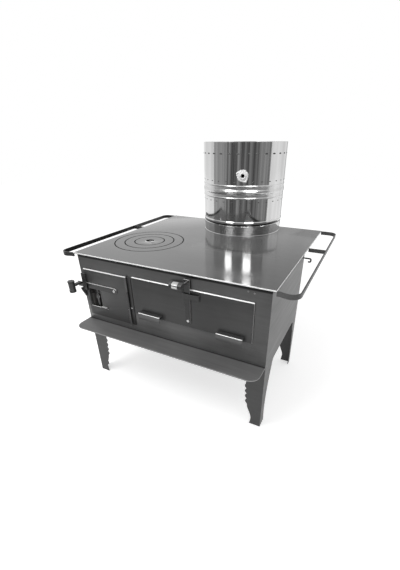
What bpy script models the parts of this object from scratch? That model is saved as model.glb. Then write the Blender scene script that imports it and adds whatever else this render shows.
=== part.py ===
"""A wood-burning kitchen stove, in metres, standing on z = 0 with its front towards -Y.

A body of cut and folded sheet steel stands on four legs under a hotplate that runs on behind it. The
hotplate has a hob of lift-off rings over the firebox, towel rails on both sides, and carries a round
water tank with the smoke pipe through its middle. The firebox door swings on an upright hinge and
holds a sliding draught shutter; the oven door drops forward. Each is shut by a flat bar on a rivet."""
import math

import bmesh
import bpy
from mathutils import Matrix, Vector

# Whole stove
STOVE_HEIGHT = 0.672
BODY_DEPTH = 0.522
SHEET = 0.003
GAP = 0.0003
OVERRUN = 0.004
ROUND_STEPS = 64
TANK_STEPS = 56
SMALL_STEPS = 20
ARC_STEPS = 6

# Hotplate and its rails
PLATE_WIDTH = 0.950
PLATE_DEPTH = 0.872
PLATE_THICKNESS = 0.0065
PLATE_EDGE = 0.0009
SIDE_OVERHANG = 0.014
FRONT_OVERHANG = 0.008
RAIL_REACH = 0.081
RAIL_HEIGHT = 0.018
RAIL_DROP = 0.002
RAIL_THICKNESS = 0.005
RAIL_NOSE = 0.019
RAIL_CORNER = 0.035
RAIL_ROOT = 0.012
RAIL_STRUT_SETBACK = 0.530

# Hob: opening, rings and lid, from the outside in
HOB_FROM_SIDE = 0.191
HOB_SETBACK = 0.294
HOB_RADIUS = 0.1707
MIDDLE_RING_RADIUS = 0.1221
LID_RADIUS = 0.0740
RING_PLAY = 0.0006
RING_LAP = 0.006
SUPPORT_LAP = 0.010
SUPPORT_FLANGE = 0.012
LIFTER_RADIUS = 0.0225
LIFTER_DEPTH = 0.0035
LIFTER_SLOT_LENGTH = 0.034
LIFTER_SLOT_WIDTH = 0.009

# Legs: the flanges that the front and back sheets and the side sheets end in
LEG_HEIGHT = 0.305
FOOT_WIDTH = 0.050
WAIST_WIDTH = 0.045
WAIST_HEIGHT = 0.034
SCALLOP_START = 0.112
SCALLOP_WIDTH = 0.067
SCALLOP_PITCH = 0.028
SCALLOP_DEPTH = 0.008
SCALLOP_COUNT = 4
SCALLOP_SLOPE_SHARE = 0.06
ARCH_RADIUS = 0.055
SIDE_FOOT_WIDTH = 0.050
SIDE_WAIST_HEIGHT = 0.055
SIDE_LEG_TOP_WIDTH = 0.100
REAR_FOOT_WIDTH = 0.030
REAR_LEG_TOP_WIDTH = 0.060
SIDE_ARCH_RADIUS = 0.028

# Front shelf
SHELF_DEPTH = 0.104
SHELF_DROP = 0.337
SHELF_THICKNESS = 0.0045
SHELF_CORNER = 0.042
SHELF_EDGE = 0.0012

# Doors
DOOR_THICKNESS = 0.005
DOOR_LAP = 0.010
FIREBOX_DOOR_FROM_SIDE = 0.022
FIREBOX_DOOR_WIDTH = 0.244
FIREBOX_DOOR_DROP = 0.072
FIREBOX_DOOR_HEIGHT = 0.236
DOOR_SPACING = 0.040
OVEN_DOOR_RIGHT_MARGIN = 0.061
OVEN_DOOR_DROP = 0.065
OVEN_DOOR_HEIGHT = 0.175

# Firebox hinge, upright beside the door
HINGE_STANDOFF = 0.0055
HINGE_FORWARD = 0.008
BARREL_RADIUS = 0.005
PIN_RADIUS = 0.0025
PIN_PLAY = 0.0005
KNUCKLE_GAP = 0.0006
KNUCKLE_SHARES = (0.343, 0.712)
PIN_HEAD_RADIUS = 0.0055
LEAF_WIDTH = 0.019

# Latch bars, their rivets, guides and catches
BAR_WIDTH = 0.025
BAR_THICKNESS = 0.005
RIVET_SHANK_RADIUS = 0.004
RIVET_HEAD_RADIUS = 0.0065
RIVET_PLAY = 0.0004
GUIDE_THICKNESS = 0.003
GUIDE_SLACK = 0.0025
FIREBOX_RIVET_FROM_EDGE = 0.068
FIREBOX_RIVET_DROP = 0.081
FIREBOX_BAR_OVERHANG = 0.023
FIREBOX_GUIDE_WIDTH = 0.022
FIREBOX_GUIDE_OVERHANG = 0.009
FIREBOX_GUIDE_ABOVE = 0.059
FIREBOX_GUIDE_BELOW = 0.024
FIREBOX_CATCH_FROM_SIDE = 0.004
FIREBOX_CATCH_HEIGHT = 0.049
FIREBOX_CATCH_REACH = 0.024
CATCH_THICKNESS = 0.006
CATCH_FOOT = 0.006
CATCH_CLEARANCE = 0.0008
OVEN_RIVET_FROM_CENTRE = 0.0005
OVEN_RIVET_RISE = 0.032
OVEN_BAR_RISE = 0.041
OVEN_GUIDE_WIDTH = 0.075
OVEN_GUIDE_SIDE_SLACK = 0.0035
OVEN_GUIDE_HEIGHT = 0.022
OVEN_GUIDE_DROP = 0.017
OVEN_CATCH_LENGTH = 0.066
OVEN_CATCH_REACH = 0.022
OVEN_CATCH_RISE = 0.016

# Handles on the bars: a stub rod with a cross barrel
ROD_RADIUS = 0.008
GRIP_RADIUS = 0.0155
GRIP_LENGTH = 0.056
GRIP_REACH = 0.052
GRIP_EDGE = 0.0025
GRIP_OFFSET_SHARE = 0.03
FIREBOX_ROD_INSET = 0.010
FIREBOX_ROD_RISE = 0.0045
OVEN_ROD_INSET = 0.0095
OVEN_GRIP_OFFSET_SHARE = 0.25

# Draught opening in the firebox door, with its shutter
DRAUGHT_FROM_EDGE = 0.010
DRAUGHT_WIDTH = 0.081
DRAUGHT_DROP = 0.093
DRAUGHT_HEIGHT = 0.097
NOTCH_WIDTH = 0.025
NOTCH_HEIGHT = 0.014
SHUTTER_THICKNESS = 0.002
SHUTTER_WIDTH = 0.110
SHUTTER_SHOWING = 0.014
SHUTTER_LAP = 0.006
SHUTTER_LIP_WIDTH = 0.034
SHUTTER_LIP_REACH = 0.014
SHUTTER_TRAVEL = 0.066
SHUTTER_PLAY = 0.0005
SHUTTER_GUIDE_HEIGHT = 0.008
SHUTTER_GUIDE_LAP = 0.004
GRILLE_WIDTH = 0.008
GRILLE_RING_RADIUS = 0.010

# Oven door hinges: a hood on the door, a lug on the body and a pin through both
HOOD_WIDTH = 0.112
HOOD_INSET = 0.032
HOOD_RISE = 0.020
HOOD_REACH = 0.022
HOOD_SHEET = 0.002
HOOD_SKIRT = 0.011
HOOD_WAVE = 0.003
HOOD_WAVE_COUNT = 5
EAR_INSET = 0.020
OVEN_PIN_RADIUS = 0.003
OVEN_PIN_FORWARD = 0.014
OVEN_PIN_DROP = 0.003
LUG_RADIUS = 0.0068
LUG_PLAY = 0.001

# Oven
OVEN_SHEET = 0.002
OVEN_DEPTH = 0.415
OVEN_LEDGE = 0.008
RACK_THICKNESS = 0.005
RACK_PLAY = 0.002
RACK_FRONT_SPACE = 0.070
RACK_RIM = 0.010
RACK_BAR = 0.006
RACK_BAR_COUNT = 11

# Fire: lining, grate and ash tray
BRICK = 0.020
BRICK_LEDGE = 0.012
BRICK_LENGTH = 0.448
BRICK_DOOR_SPACE = 0.005
BACK_BRICK = 0.025
BRICK_TOP_DROP = 0.040
RIGHT_BRICK_TOP_DROP = 0.070
GRATE_DROP = 0.192
GRATE_THICKNESS = 0.014
GRATE_PLAY = 0.001
GRATE_FRONT_SPACE = 0.022
GRATE_SLOT = 0.010
GRATE_SLOT_COUNT = 9
GRATE_RIM = 0.018
TRAY_SHEET = 0.002
TRAY_HEIGHT = 0.048
TRAY_SIDE_PLAY = 0.006
TRAY_LENGTH = 0.350
TRAY_FRONT_SPACE = 0.075
TRAY_HANDLE_WIDTH = 0.060
TRAY_HANDLE_REACH = 0.014
TRAY_HANDLE_RISE_SHARE = 0.65

# Smoke way behind the body, and its damper
FLUE_BOX_WIDTH = 0.220
FLUE_BOX_DEPTH = 0.320
FLUE_BOX_HEIGHT = 0.140
FLUE_BOX_SHEET = 0.002
SMOKE_HOLE_WIDTH = 0.120
SMOKE_HOLE_HEIGHT = 0.085
SMOKE_HOLE_DROP = 0.028
DAMPER_LAP = 0.009
DAMPER_THICKNESS = 0.002
DAMPER_TRAVEL = 0.090
DAMPER_GUIDE_HEIGHT = 0.007
DAMPER_GUIDE_LAP = 0.004
DAMPER_PLAY = 0.0006
DAMPER_ROD_RADIUS = 0.0028
DAMPER_ROD_FROM_BACK = 0.015
DAMPER_ROD_DROP = 0.047
DAMPER_ROD_REACH = 0.034
DAMPER_HOOK_DROP = 0.016
DAMPER_HOOK_RETURN = 0.012
DAMPER_HOOK_BEND = 0.005
DAMPER_TAB = 0.010

# Water tank on the hotplate, from its foot up
TANK_OFFSET = 0.045
TANK_SETBACK = 0.757
TANK_RADIUS = 0.217
TANK_HEIGHT = 0.434
TANK_SHEET = 0.0015
TANK_LIP = 0.003
TANK_LIP_HEIGHT = 0.004
TANK_GROOVE_RISE = 0.057
TANK_GROOVE_WIDTH = 0.010
TANK_GROOVE_DEPTH = 0.004
TANK_BEAD_RISE = 0.216
TANK_BEAD_WIDTH = 0.024
TANK_BEAD_DEPTH = 0.003
TANK_SMALL_BEAD_SPACING = 0.028
TANK_SMALL_BEAD_WIDTH = 0.007
TANK_SMALL_BEAD_DEPTH = 0.0015
TANK_RIM_HEIGHT = 0.007
LID_SINK = 0.030
FLUE_RADIUS = 0.060
FLUE_SHEET = 0.002
SOCKET_RISE = 0.292
SOCKET_AZIMUTH = -70.7
SOCKET_FLANGE_RADIUS = 0.027
SOCKET_FLANGE = 0.003
SOCKET_RADIUS = 0.0155
SOCKET_LENGTH = 0.014
SOCKET_BORE_RADIUS = 0.009

# Places worked out from the sizes above
BODY_HALF = PLATE_WIDTH / 2 - SIDE_OVERHANG
FRONT_Y = (SHELF_DEPTH - TANK_SETBACK - TANK_RADIUS) / 2
INNER_FRONT_Y = FRONT_Y + SHEET + GAP
BACK_Y = FRONT_Y + BODY_DEPTH
INNER_BACK_Y = BACK_Y - SHEET - GAP
PLATE_FRONT = FRONT_Y - FRONT_OVERHANG
PLATE_BACK = PLATE_FRONT + PLATE_DEPTH
PLATE_BOTTOM = STOVE_HEIGHT - PLATE_THICKNESS
PANEL_TOP = PLATE_BOTTOM - GAP
HOB_CENTRE = (HOB_FROM_SIDE - BODY_HALF, FRONT_Y + HOB_SETBACK)
TANK_CENTRE = (TANK_OFFSET, FRONT_Y + TANK_SETBACK)
TANK_FOOT = STOVE_HEIGHT + GAP

FIRE_LEFT = FIREBOX_DOOR_FROM_SIDE - BODY_HALF
FIRE_RIGHT = FIRE_LEFT + FIREBOX_DOOR_WIDTH
FIRE_TOP = STOVE_HEIGHT - FIREBOX_DOOR_DROP
FIRE_BOTTOM = FIRE_TOP - FIREBOX_DOOR_HEIGHT
OVEN_LEFT = FIRE_RIGHT + DOOR_SPACING
OVEN_RIGHT = BODY_HALF - OVEN_DOOR_RIGHT_MARGIN
OVEN_TOP = STOVE_HEIGHT - OVEN_DOOR_DROP
OVEN_BOTTOM = OVEN_TOP - OVEN_DOOR_HEIGHT
FLOOR_TOP = FIRE_BOTTOM + DOOR_LAP

DOOR_BACK = FRONT_Y - GAP
DOOR_FACE = DOOR_BACK - DOOR_THICKNESS
BAR_BACK = DOOR_FACE - GAP
BAR_FACE = BAR_BACK - BAR_THICKNESS
GUIDE_FACE = BAR_FACE - GUIDE_SLACK - GUIDE_THICKNESS
GRIP_Y = DOOR_FACE - GRIP_REACH

HINGE_X = FIRE_RIGHT + HINGE_STANDOFF
HINGE_Y = FRONT_Y - HINGE_FORWARD
FIREBOX_RIVET_X = FIRE_RIGHT - FIREBOX_RIVET_FROM_EDGE
FIREBOX_RIVET_Z = FIRE_TOP - FIREBOX_RIVET_DROP
FIREBOX_BAR_END = -BODY_HALF - FIREBOX_BAR_OVERHANG
OVEN_RIVET_X = (OVEN_LEFT + OVEN_RIGHT) / 2 - OVEN_RIVET_FROM_CENTRE
OVEN_RIVET_Z = OVEN_BOTTOM + OVEN_RIVET_RISE
OVEN_BAR_END = OVEN_TOP + OVEN_BAR_RISE
OVEN_PIN_Y = FRONT_Y - OVEN_PIN_FORWARD
OVEN_PIN_Z = OVEN_BOTTOM - OVEN_PIN_DROP

DRAUGHT_LEFT = FIRE_LEFT + DRAUGHT_FROM_EDGE
DRAUGHT_RIGHT = DRAUGHT_LEFT + DRAUGHT_WIDTH
DRAUGHT_TOP = FIRE_TOP - DRAUGHT_DROP
DRAUGHT_BOTTOM = DRAUGHT_TOP - DRAUGHT_HEIGHT
SHUTTER_LEFT = DRAUGHT_RIGHT - SHUTTER_SHOWING
SHUTTER_RIGHT = SHUTTER_LEFT + SHUTTER_WIDTH
SHUTTER_Y = (DOOR_BACK + GAP, DOOR_BACK + GAP + SHUTTER_THICKNESS)
SHUTTER_TOP = DRAUGHT_TOP + SHUTTER_LAP
SHUTTER_BOTTOM = DRAUGHT_BOTTOM - SHUTTER_LAP
SHUTTER_GUIDE_BACK = SHUTTER_Y[1] + SHUTTER_PLAY + SHUTTER_THICKNESS

LEFT_WALL = -BODY_HALF + SHEET + GAP
OVEN_BOX_LEFT = OVEN_LEFT + DOOR_LAP - OVEN_SHEET
OVEN_BOX_RIGHT = OVEN_RIGHT - DOOR_LAP + OVEN_SHEET
OVEN_BOX_BOTTOM = OVEN_BOTTOM + DOOR_LAP - OVEN_SHEET
OVEN_BOX_TOP = OVEN_TOP - DOOR_LAP + OVEN_SHEET
OVEN_BOX_BACK = INNER_FRONT_Y + OVEN_DEPTH
RIGHT_WALL = OVEN_BOX_LEFT - GAP
GRATE_TOP = STOVE_HEIGHT - GRATE_DROP
BRICK_FRONT = SHUTTER_GUIDE_BACK + SHEET + BRICK_DOOR_SPACE
BRICK_BACK = BRICK_FRONT + BRICK_LENGTH

SMOKE_TOP = PANEL_TOP - SMOKE_HOLE_DROP
SMOKE_BOTTOM = SMOKE_TOP - SMOKE_HOLE_HEIGHT
DAMPER_LEFT = TANK_OFFSET - SMOKE_HOLE_WIDTH / 2 - DAMPER_LAP
DAMPER_RIGHT = TANK_OFFSET + SMOKE_HOLE_WIDTH / 2 + DAMPER_LAP
DAMPER_Y = (INNER_BACK_Y - DAMPER_THICKNESS, INNER_BACK_Y)
DAMPER_ROD_Y = BACK_Y - DAMPER_ROD_FROM_BACK
DAMPER_ROD_Z = STOVE_HEIGHT - DAMPER_ROD_DROP

# Colour, roughness and metallic value of each finish
BLUED_STEEL = ((0.085, 0.088, 0.092), 0.38, 0.85)
HOTPLATE_STEEL = ((0.24, 0.24, 0.245), 0.30, 0.90)
BRIGHT_STEEL = ((0.62, 0.62, 0.62), 0.22, 1.00)
STAINLESS = ((0.55, 0.55, 0.56), 0.12, 1.00)
BLACK_IRON = ((0.035, 0.035, 0.035), 0.60, 0.60)
FIREBRICK = ((0.52, 0.40, 0.28), 0.90, 0.00)


def clear_scene():
    """Start from an empty scene."""
    for item in list(bpy.data.objects):
        bpy.data.objects.remove(item)


def block(x, y, z):
    """A box between the two ends given for each axis."""
    bm = bmesh.new()
    bmesh.ops.create_cube(bm, size=1)
    spans = [sorted(ends) for ends in (x, y, z)]
    bmesh.ops.scale(bm, vec=[high - low for low, high in spans], verts=bm.verts)
    bmesh.ops.translate(bm, vec=[(low + high) / 2 for low, high in spans], verts=bm.verts)
    return bm


def prism(outline, axis, ends):
    """A flat outline, given in the two other axes, extruded between two ends of one axis."""
    along = "xyz".index(axis)
    across, up = [number for number in range(3) if number != along]
    bm = bmesh.new()
    corners = []
    for first, second in outline:
        place = Vector((0, 0, 0))
        place[across], place[up], place[along] = first, second, ends[0]
        corners.append(bm.verts.new(place))
    grown = bmesh.ops.extrude_face_region(bm, geom=[bm.faces.new(corners)])
    shift = Vector((0, 0, 0))
    shift[along] = ends[1] - ends[0]
    new_corners = [item for item in grown["geom"] if isinstance(item, bmesh.types.BMVert)]
    bmesh.ops.translate(bm, vec=shift, verts=new_corners)
    bmesh.ops.recalc_face_normals(bm, faces=bm.faces)
    return bm


def circle(centre, radius, steps):
    """Points of a circle as a flat outline."""
    turn = 2 * math.pi / steps
    return [(centre[0] + radius * math.cos(turn * step), centre[1] + radius * math.sin(turn * step))
            for step in range(steps)]


def cylinder(axis, centre, radius, ends, steps=SMALL_STEPS):
    """A round bar along one axis; centre is its place in the two other axes."""
    return prism(circle(centre, radius, steps), axis, ends)


def turned(profile, centre, steps=ROUND_STEPS):
    """A profile of (radius, height) points spun about the upright line through centre."""
    bm = bmesh.new()
    points = [bm.verts.new((radius, 0, height)) for radius, height in profile]
    pairs = list(zip(points, points[1:]))
    if profile[0][0] > 0:
        pairs.append((points[-1], points[0]))
    edges = [bm.edges.new(pair) for pair in pairs]
    bmesh.ops.spin(bm, geom=points + edges, axis=(0, 0, 1), cent=(0, 0, 0),
                   angle=2 * math.pi, steps=steps, use_merge=True)
    bmesh.ops.remove_doubles(bm, verts=bm.verts, dist=GAP / 10)
    bmesh.ops.recalc_face_normals(bm, faces=bm.faces)
    bmesh.ops.translate(bm, vec=(centre[0], centre[1], 0), verts=bm.verts)
    return bm


def rounded(corners, radius):
    """An open line through the corners, each inner corner replaced by an arc."""
    points = [Vector(corners[0])]
    for before, corner, after in zip(corners, corners[1:], corners[2:]):
        corner = Vector(corner)
        way_in = (corner - Vector(before)).normalized()
        way_out = (Vector(after) - corner).normalized()
        turn = way_in.angle(way_out)
        reach = radius * math.tan(turn / 2)
        for step in range(ARC_STEPS + 1):
            swept = turn * step / ARC_STEPS
            forward = radius * math.sin(swept) - reach
            inward = radius * (1 - math.cos(swept))
            side = (way_out - way_in * math.cos(turn)).normalized()
            points.append(corner + way_in * forward + side * inward)
    points.append(Vector(corners[-1]))
    return points


def ribbon(path, thickness):
    """The outline of a flat strip of even thickness whose middle follows a path."""
    left, right = [], []
    for number, point in enumerate(path):
        way_in = point - path[max(number - 1, 0)]
        way_out = path[min(number + 1, len(path) - 1)] - point
        way = (way_in.normalized() + way_out.normalized()).normalized()
        side = Vector((-way.y, way.x)) * thickness / 2
        left.append(point + side)
        right.append(point - side)
    return left + right[::-1]


def bevelled(bm, is_edge, width):
    """Round the edges that is_edge picks."""
    edges = [edge for edge in bm.edges if is_edge(edge)]
    bmesh.ops.bevel(bm, geom=edges, offset=width, segments=2, profile=0.5,
                    affect="EDGES", material=-1, clamp_overlap=True)
    return bm


def shape(name, bm):
    """Put a mesh into the scene as an object."""
    mesh = bpy.data.meshes.new(name)
    bm.to_mesh(mesh)
    bm.free()
    piece = bpy.data.objects.new(name, mesh)
    bpy.context.collection.objects.link(piece)
    return piece


def combine(piece, bm, operation):
    """Apply a Boolean between a piece and a mesh, and drop the mesh."""
    tool = shape("tool", bm)
    modifier = piece.modifiers.new("combine", "BOOLEAN")
    modifier.operation = operation
    modifier.object = tool
    graph = bpy.context.evaluated_depsgraph_get()
    result = bpy.data.meshes.new_from_object(piece.evaluated_get(graph), depsgraph=graph)
    piece.modifiers.clear()
    piece.data = result
    bpy.data.objects.remove(tool)


def add(piece, bm):
    """Weld a mesh to a piece."""
    combine(piece, bm, "UNION")


def cut(piece, bm):
    """Cut a mesh out of a piece."""
    combine(piece, bm, "DIFFERENCE")


def world_place(item):
    """The place of an unturned item in the stove's frame."""
    place = item.location.copy()
    while item.parent:
        item = item.parent
        place += item.location
    return place


def axis_empty(name, place, carrier=None):
    """An empty on a joint's axis, for the pieces that move about it."""
    empty = bpy.data.objects.new(name, None)
    bpy.context.collection.objects.link(empty)
    empty.location = Vector(place)
    if carrier:
        empty.location = Vector(place) - world_place(carrier)
        empty.parent = carrier
    return empty


def finish(piece, look, origin, carrier=None, smooth=False):
    """Give a piece its origin, its carrier, its shading and its own material."""
    origin = Vector(origin)
    piece.data.transform(Matrix.Translation(-origin))
    piece.location = origin
    if carrier:
        piece.location = origin - world_place(carrier)
        piece.parent = carrier
    if smooth:
        piece.data.shade_smooth()
        piece.data.set_sharp_from_angle(angle=math.radians(32))
    colour, roughness, metallic = look
    material = bpy.data.materials.new(piece.name)
    material.use_nodes = True
    shader = material.node_tree.nodes["Principled BSDF"]
    shader.inputs["Base Color"].default_value = (*colour, 1)
    shader.inputs["Roughness"].default_value = roughness
    shader.inputs["Metallic"].default_value = metallic
    piece.data.materials.clear()
    piece.data.materials.append(material)


def hotplate():
    """The thick top sheet, open over the fire and under the tank."""
    sheet = block((-PLATE_WIDTH / 2, PLATE_WIDTH / 2), (PLATE_FRONT, PLATE_BACK),
                  (PLATE_BOTTOM, STOVE_HEIGHT))
    middle = (PLATE_BOTTOM + STOVE_HEIGHT) / 2
    bevelled(sheet, lambda edge: all(end.co.z > middle for end in edge.verts), PLATE_EDGE)
    plate = shape("hotplate", sheet)
    through = (PLATE_BOTTOM - OVERRUN, STOVE_HEIGHT + OVERRUN)
    cut(plate, cylinder("z", HOB_CENTRE, HOB_RADIUS, through, ROUND_STEPS))
    cut(plate, cylinder("z", TANK_CENTRE, FLUE_RADIUS - FLUE_SHEET, through, ROUND_STEPS))
    finish(plate, HOTPLATE_STEEL, (0, PLATE_FRONT, STOVE_HEIGHT), smooth=True)


def hob():
    """The ring welded under the opening, and the two loose rings and lid that lap into one another."""
    ledge = PLATE_BOTTOM + PLATE_THICKNESS / 2
    step = ledge + GAP
    under = PLATE_BOTTOM - GAP
    support = [(HOB_RADIUS - SUPPORT_LAP, under - SHEET), (HOB_RADIUS + SUPPORT_FLANGE, under - SHEET),
               (HOB_RADIUS + SUPPORT_FLANGE, under), (HOB_RADIUS - SUPPORT_LAP, under)]
    ring = shape("hob_support_ring", turned(support, HOB_CENTRE))
    finish(ring, BLUED_STEEL, (*HOB_CENTRE, under), smooth=True)

    outer_edge = HOB_RADIUS - RING_PLAY
    outer = [(outer_edge, PLATE_BOTTOM), (outer_edge, STOVE_HEIGHT), (MIDDLE_RING_RADIUS, STOVE_HEIGHT),
             (MIDDLE_RING_RADIUS, ledge), (MIDDLE_RING_RADIUS - RING_LAP, ledge),
             (MIDDLE_RING_RADIUS - RING_LAP, PLATE_BOTTOM)]
    middle_edge = MIDDLE_RING_RADIUS - RING_PLAY
    middle = [(middle_edge - RING_LAP, PLATE_BOTTOM), (middle_edge - RING_LAP, step), (middle_edge, step),
              (middle_edge, STOVE_HEIGHT), (LID_RADIUS, STOVE_HEIGHT), (LID_RADIUS, ledge),
              (LID_RADIUS - RING_LAP, ledge), (LID_RADIUS - RING_LAP, PLATE_BOTTOM)]
    lid_edge = LID_RADIUS - RING_PLAY
    lid_profile = [(0, PLATE_BOTTOM), (lid_edge - RING_LAP, PLATE_BOTTOM), (lid_edge - RING_LAP, step),
                   (lid_edge, step), (lid_edge, STOVE_HEIGHT), (LIFTER_RADIUS, STOVE_HEIGHT),
                   (LIFTER_RADIUS - LIFTER_DEPTH / 2, STOVE_HEIGHT - LIFTER_DEPTH),
                   (0, STOVE_HEIGHT - LIFTER_DEPTH)]
    seat = (*HOB_CENTRE, PLATE_BOTTOM)
    carrier = axis_empty("outer_ring_lift", seat)
    ring = shape("hob_ring_outer", turned(outer, HOB_CENTRE))
    finish(ring, HOTPLATE_STEEL, seat, carrier, smooth=True)
    carrier = axis_empty("middle_ring_lift", seat, carrier)
    ring = shape("hob_ring_middle", turned(middle, HOB_CENTRE))
    finish(ring, HOTPLATE_STEEL, seat, carrier, smooth=True)
    carrier = axis_empty("lid_lift", seat, carrier)
    lid = shape("hob_lid", turned(lid_profile, HOB_CENTRE))
    half_length, half_width = LIFTER_SLOT_LENGTH / 2, LIFTER_SLOT_WIDTH / 2
    cut(lid, block((HOB_CENTRE[0] - half_length, HOB_CENTRE[0] + half_length),
                   (HOB_CENTRE[1] - half_width, HOB_CENTRE[1] + half_width),
                   (PLATE_BOTTOM - OVERRUN, STOVE_HEIGHT + OVERRUN)))
    finish(lid, HOTPLATE_STEEL, seat, carrier, smooth=True)


def rail(name, side):
    """A flat bar on edge, bent round beyond one side of the hotplate, with a strut to its middle."""
    root = PLATE_WIDTH / 2 + GAP
    outside = PLATE_WIDTH / 2 + RAIL_REACH - RAIL_THICKNESS / 2
    front_arm = PLATE_FRONT + RAIL_THICKNESS / 2
    back_arm = PLATE_BACK - RAIL_THICKNESS / 2
    corners = [(root, front_arm), (root + RAIL_ROOT, front_arm), (outside, front_arm - RAIL_NOSE),
               (outside, back_arm), (root, back_arm)]
    front = rounded(corners[:3], RAIL_THICKNESS)[:-1]
    bend = rounded([front[-1], *corners[2:]], RAIL_CORNER)
    path = [Vector((side * point.x, point.y)) for point in front + bend[1:]]
    top = STOVE_HEIGHT - RAIL_DROP
    heights = (top - RAIL_HEIGHT, top)
    bar = shape(name, prism(ribbon(path, RAIL_THICKNESS), "z", heights))
    strut_front = PLATE_FRONT + RAIL_STRUT_SETBACK - RAIL_THICKNESS / 2
    strut = block((side * root, side * outside), (strut_front, strut_front + RAIL_THICKNESS),
                  (heights[0] + GAP, heights[1] - GAP))
    add(bar, strut)
    finish(bar, BLACK_IRON, (side * root, front_arm, top), smooth=True)


def scalloped_leg():
    """The inner edge of a front or back leg flange, as (distance from the corner, height) points."""
    points = [(FOOT_WIDTH, 0)]
    for step in range(ARC_STEPS):
        share = step / ARC_STEPS
        width = WAIST_WIDTH + (SCALLOP_WIDTH - WAIST_WIDTH) * share * share * (3 - 2 * share)
        points.append((width, WAIST_HEIGHT + (SCALLOP_START - WAIST_HEIGHT) * share))
    for number in range(SCALLOP_COUNT):
        for step in range(ARC_STEPS):
            share = step / ARC_STEPS
            rise = SCALLOP_PITCH * (number + share)
            bulge = SCALLOP_DEPTH * math.sin(math.pi * share)
            points.append((SCALLOP_WIDTH + rise * SCALLOP_SLOPE_SHARE + bulge, SCALLOP_START + rise))
    rise = SCALLOP_PITCH * SCALLOP_COUNT
    width = SCALLOP_WIDTH + rise * SCALLOP_SLOPE_SHARE
    for step in range(ARC_STEPS + 1):
        angle = math.pi / 2 * step / ARC_STEPS
        points.append((width + ARCH_RADIUS * (1 - math.cos(angle)),
                       LEG_HEIGHT - ARCH_RADIUS * (1 - math.sin(angle))))
    return points


def plain_leg(foot_width, top_width):
    """The inner edge of a side leg flange: slim at the ankle, spreading into the arch."""
    waist = foot_width - (FOOT_WIDTH - WAIST_WIDTH)
    points = [(foot_width, 0)]
    top = LEG_HEIGHT - SIDE_ARCH_RADIUS
    for step in range(ARC_STEPS + 1):
        share = step / ARC_STEPS
        height = SIDE_WAIST_HEIGHT + (top - SIDE_WAIST_HEIGHT) * share
        points.append((waist + (top_width - waist) * share * share, height))
    for step in range(1, ARC_STEPS + 1):
        angle = math.pi / 2 * step / ARC_STEPS
        points.append((top_width + SIDE_ARCH_RADIUS * (1 - math.cos(angle)),
                       top + SIDE_ARCH_RADIUS * math.sin(angle)))
    return points


def end_sheet_outline():
    """Front or back sheet: the full width of the body, its two lower corners drawn down into legs."""
    left = [(width - BODY_HALF, height) for width, height in scalloped_leg()]
    right = [(-x, z) for x, z in reversed(left)]
    return [(-BODY_HALF, 0), *left, *right, (BODY_HALF, 0), (BODY_HALF, PANEL_TOP), (-BODY_HALF, PANEL_TOP)]


def front_panel():
    """The front sheet with its two door openings."""
    panel = shape("front_panel", prism(end_sheet_outline(), "y", (FRONT_Y, FRONT_Y + SHEET)))
    through = (FRONT_Y - OVERRUN, FRONT_Y + SHEET + OVERRUN)
    cut(panel, block((FIRE_LEFT + DOOR_LAP, FIRE_RIGHT - DOOR_LAP), through,
                     (FIRE_BOTTOM + DOOR_LAP, FIRE_TOP - DOOR_LAP)))
    cut(panel, block((OVEN_LEFT + DOOR_LAP, OVEN_RIGHT - DOOR_LAP), through,
                     (OVEN_BOTTOM + DOOR_LAP, OVEN_TOP - DOOR_LAP)))
    finish(panel, BLUED_STEEL, (-BODY_HALF, FRONT_Y, 0))


def back_panel():
    """The back sheet with the smoke hole behind the damper."""
    panel = shape("back_panel", prism(end_sheet_outline(), "y", (BACK_Y - SHEET, BACK_Y)))
    cut(panel, block((TANK_OFFSET - SMOKE_HOLE_WIDTH / 2, TANK_OFFSET + SMOKE_HOLE_WIDTH / 2),
                     (BACK_Y - SHEET - OVERRUN, BACK_Y + OVERRUN), (SMOKE_BOTTOM, SMOKE_TOP)))
    finish(panel, BLUED_STEEL, (-BODY_HALF, BACK_Y, 0))


def side_panels():
    """The side sheets between front and back; the right one lets the damper rod through."""
    front = [(FRONT_Y + width, height) for width, height in plain_leg(SIDE_FOOT_WIDTH, SIDE_LEG_TOP_WIDTH)]
    rear = [(BACK_Y - width, height) for width, height in plain_leg(REAR_FOOT_WIDTH, REAR_LEG_TOP_WIDTH)]
    outline = [(INNER_FRONT_Y, 0), *front, *reversed(rear), (INNER_BACK_Y, 0),
               (INNER_BACK_Y, PANEL_TOP), (INNER_FRONT_Y, PANEL_TOP)]
    left = shape("left_side_panel", prism(outline, "x", (-BODY_HALF, -BODY_HALF + SHEET)))
    finish(left, BLUED_STEEL, (-BODY_HALF, INNER_FRONT_Y, 0))
    right = shape("right_side_panel", prism(outline, "x", (BODY_HALF - SHEET, BODY_HALF)))
    cut(right, cylinder("x", (DAMPER_ROD_Y, DAMPER_ROD_Z), DAMPER_ROD_RADIUS + RIVET_PLAY,
                        (BODY_HALF - SHEET - OVERRUN, BODY_HALF + OVERRUN)))
    finish(right, BLUED_STEEL, (BODY_HALF, INNER_FRONT_Y, 0))


def floor_panel():
    """The inner floor, level with the sill of the firebox door."""
    inside = BODY_HALF - SHEET - GAP
    floor = shape("floor_panel", block((-inside, inside), (INNER_FRONT_Y, INNER_BACK_Y),
                                       (FLOOR_TOP - SHEET, FLOOR_TOP)))
    finish(floor, BLUED_STEEL, (0, INNER_FRONT_Y, FLOOR_TOP))


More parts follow.
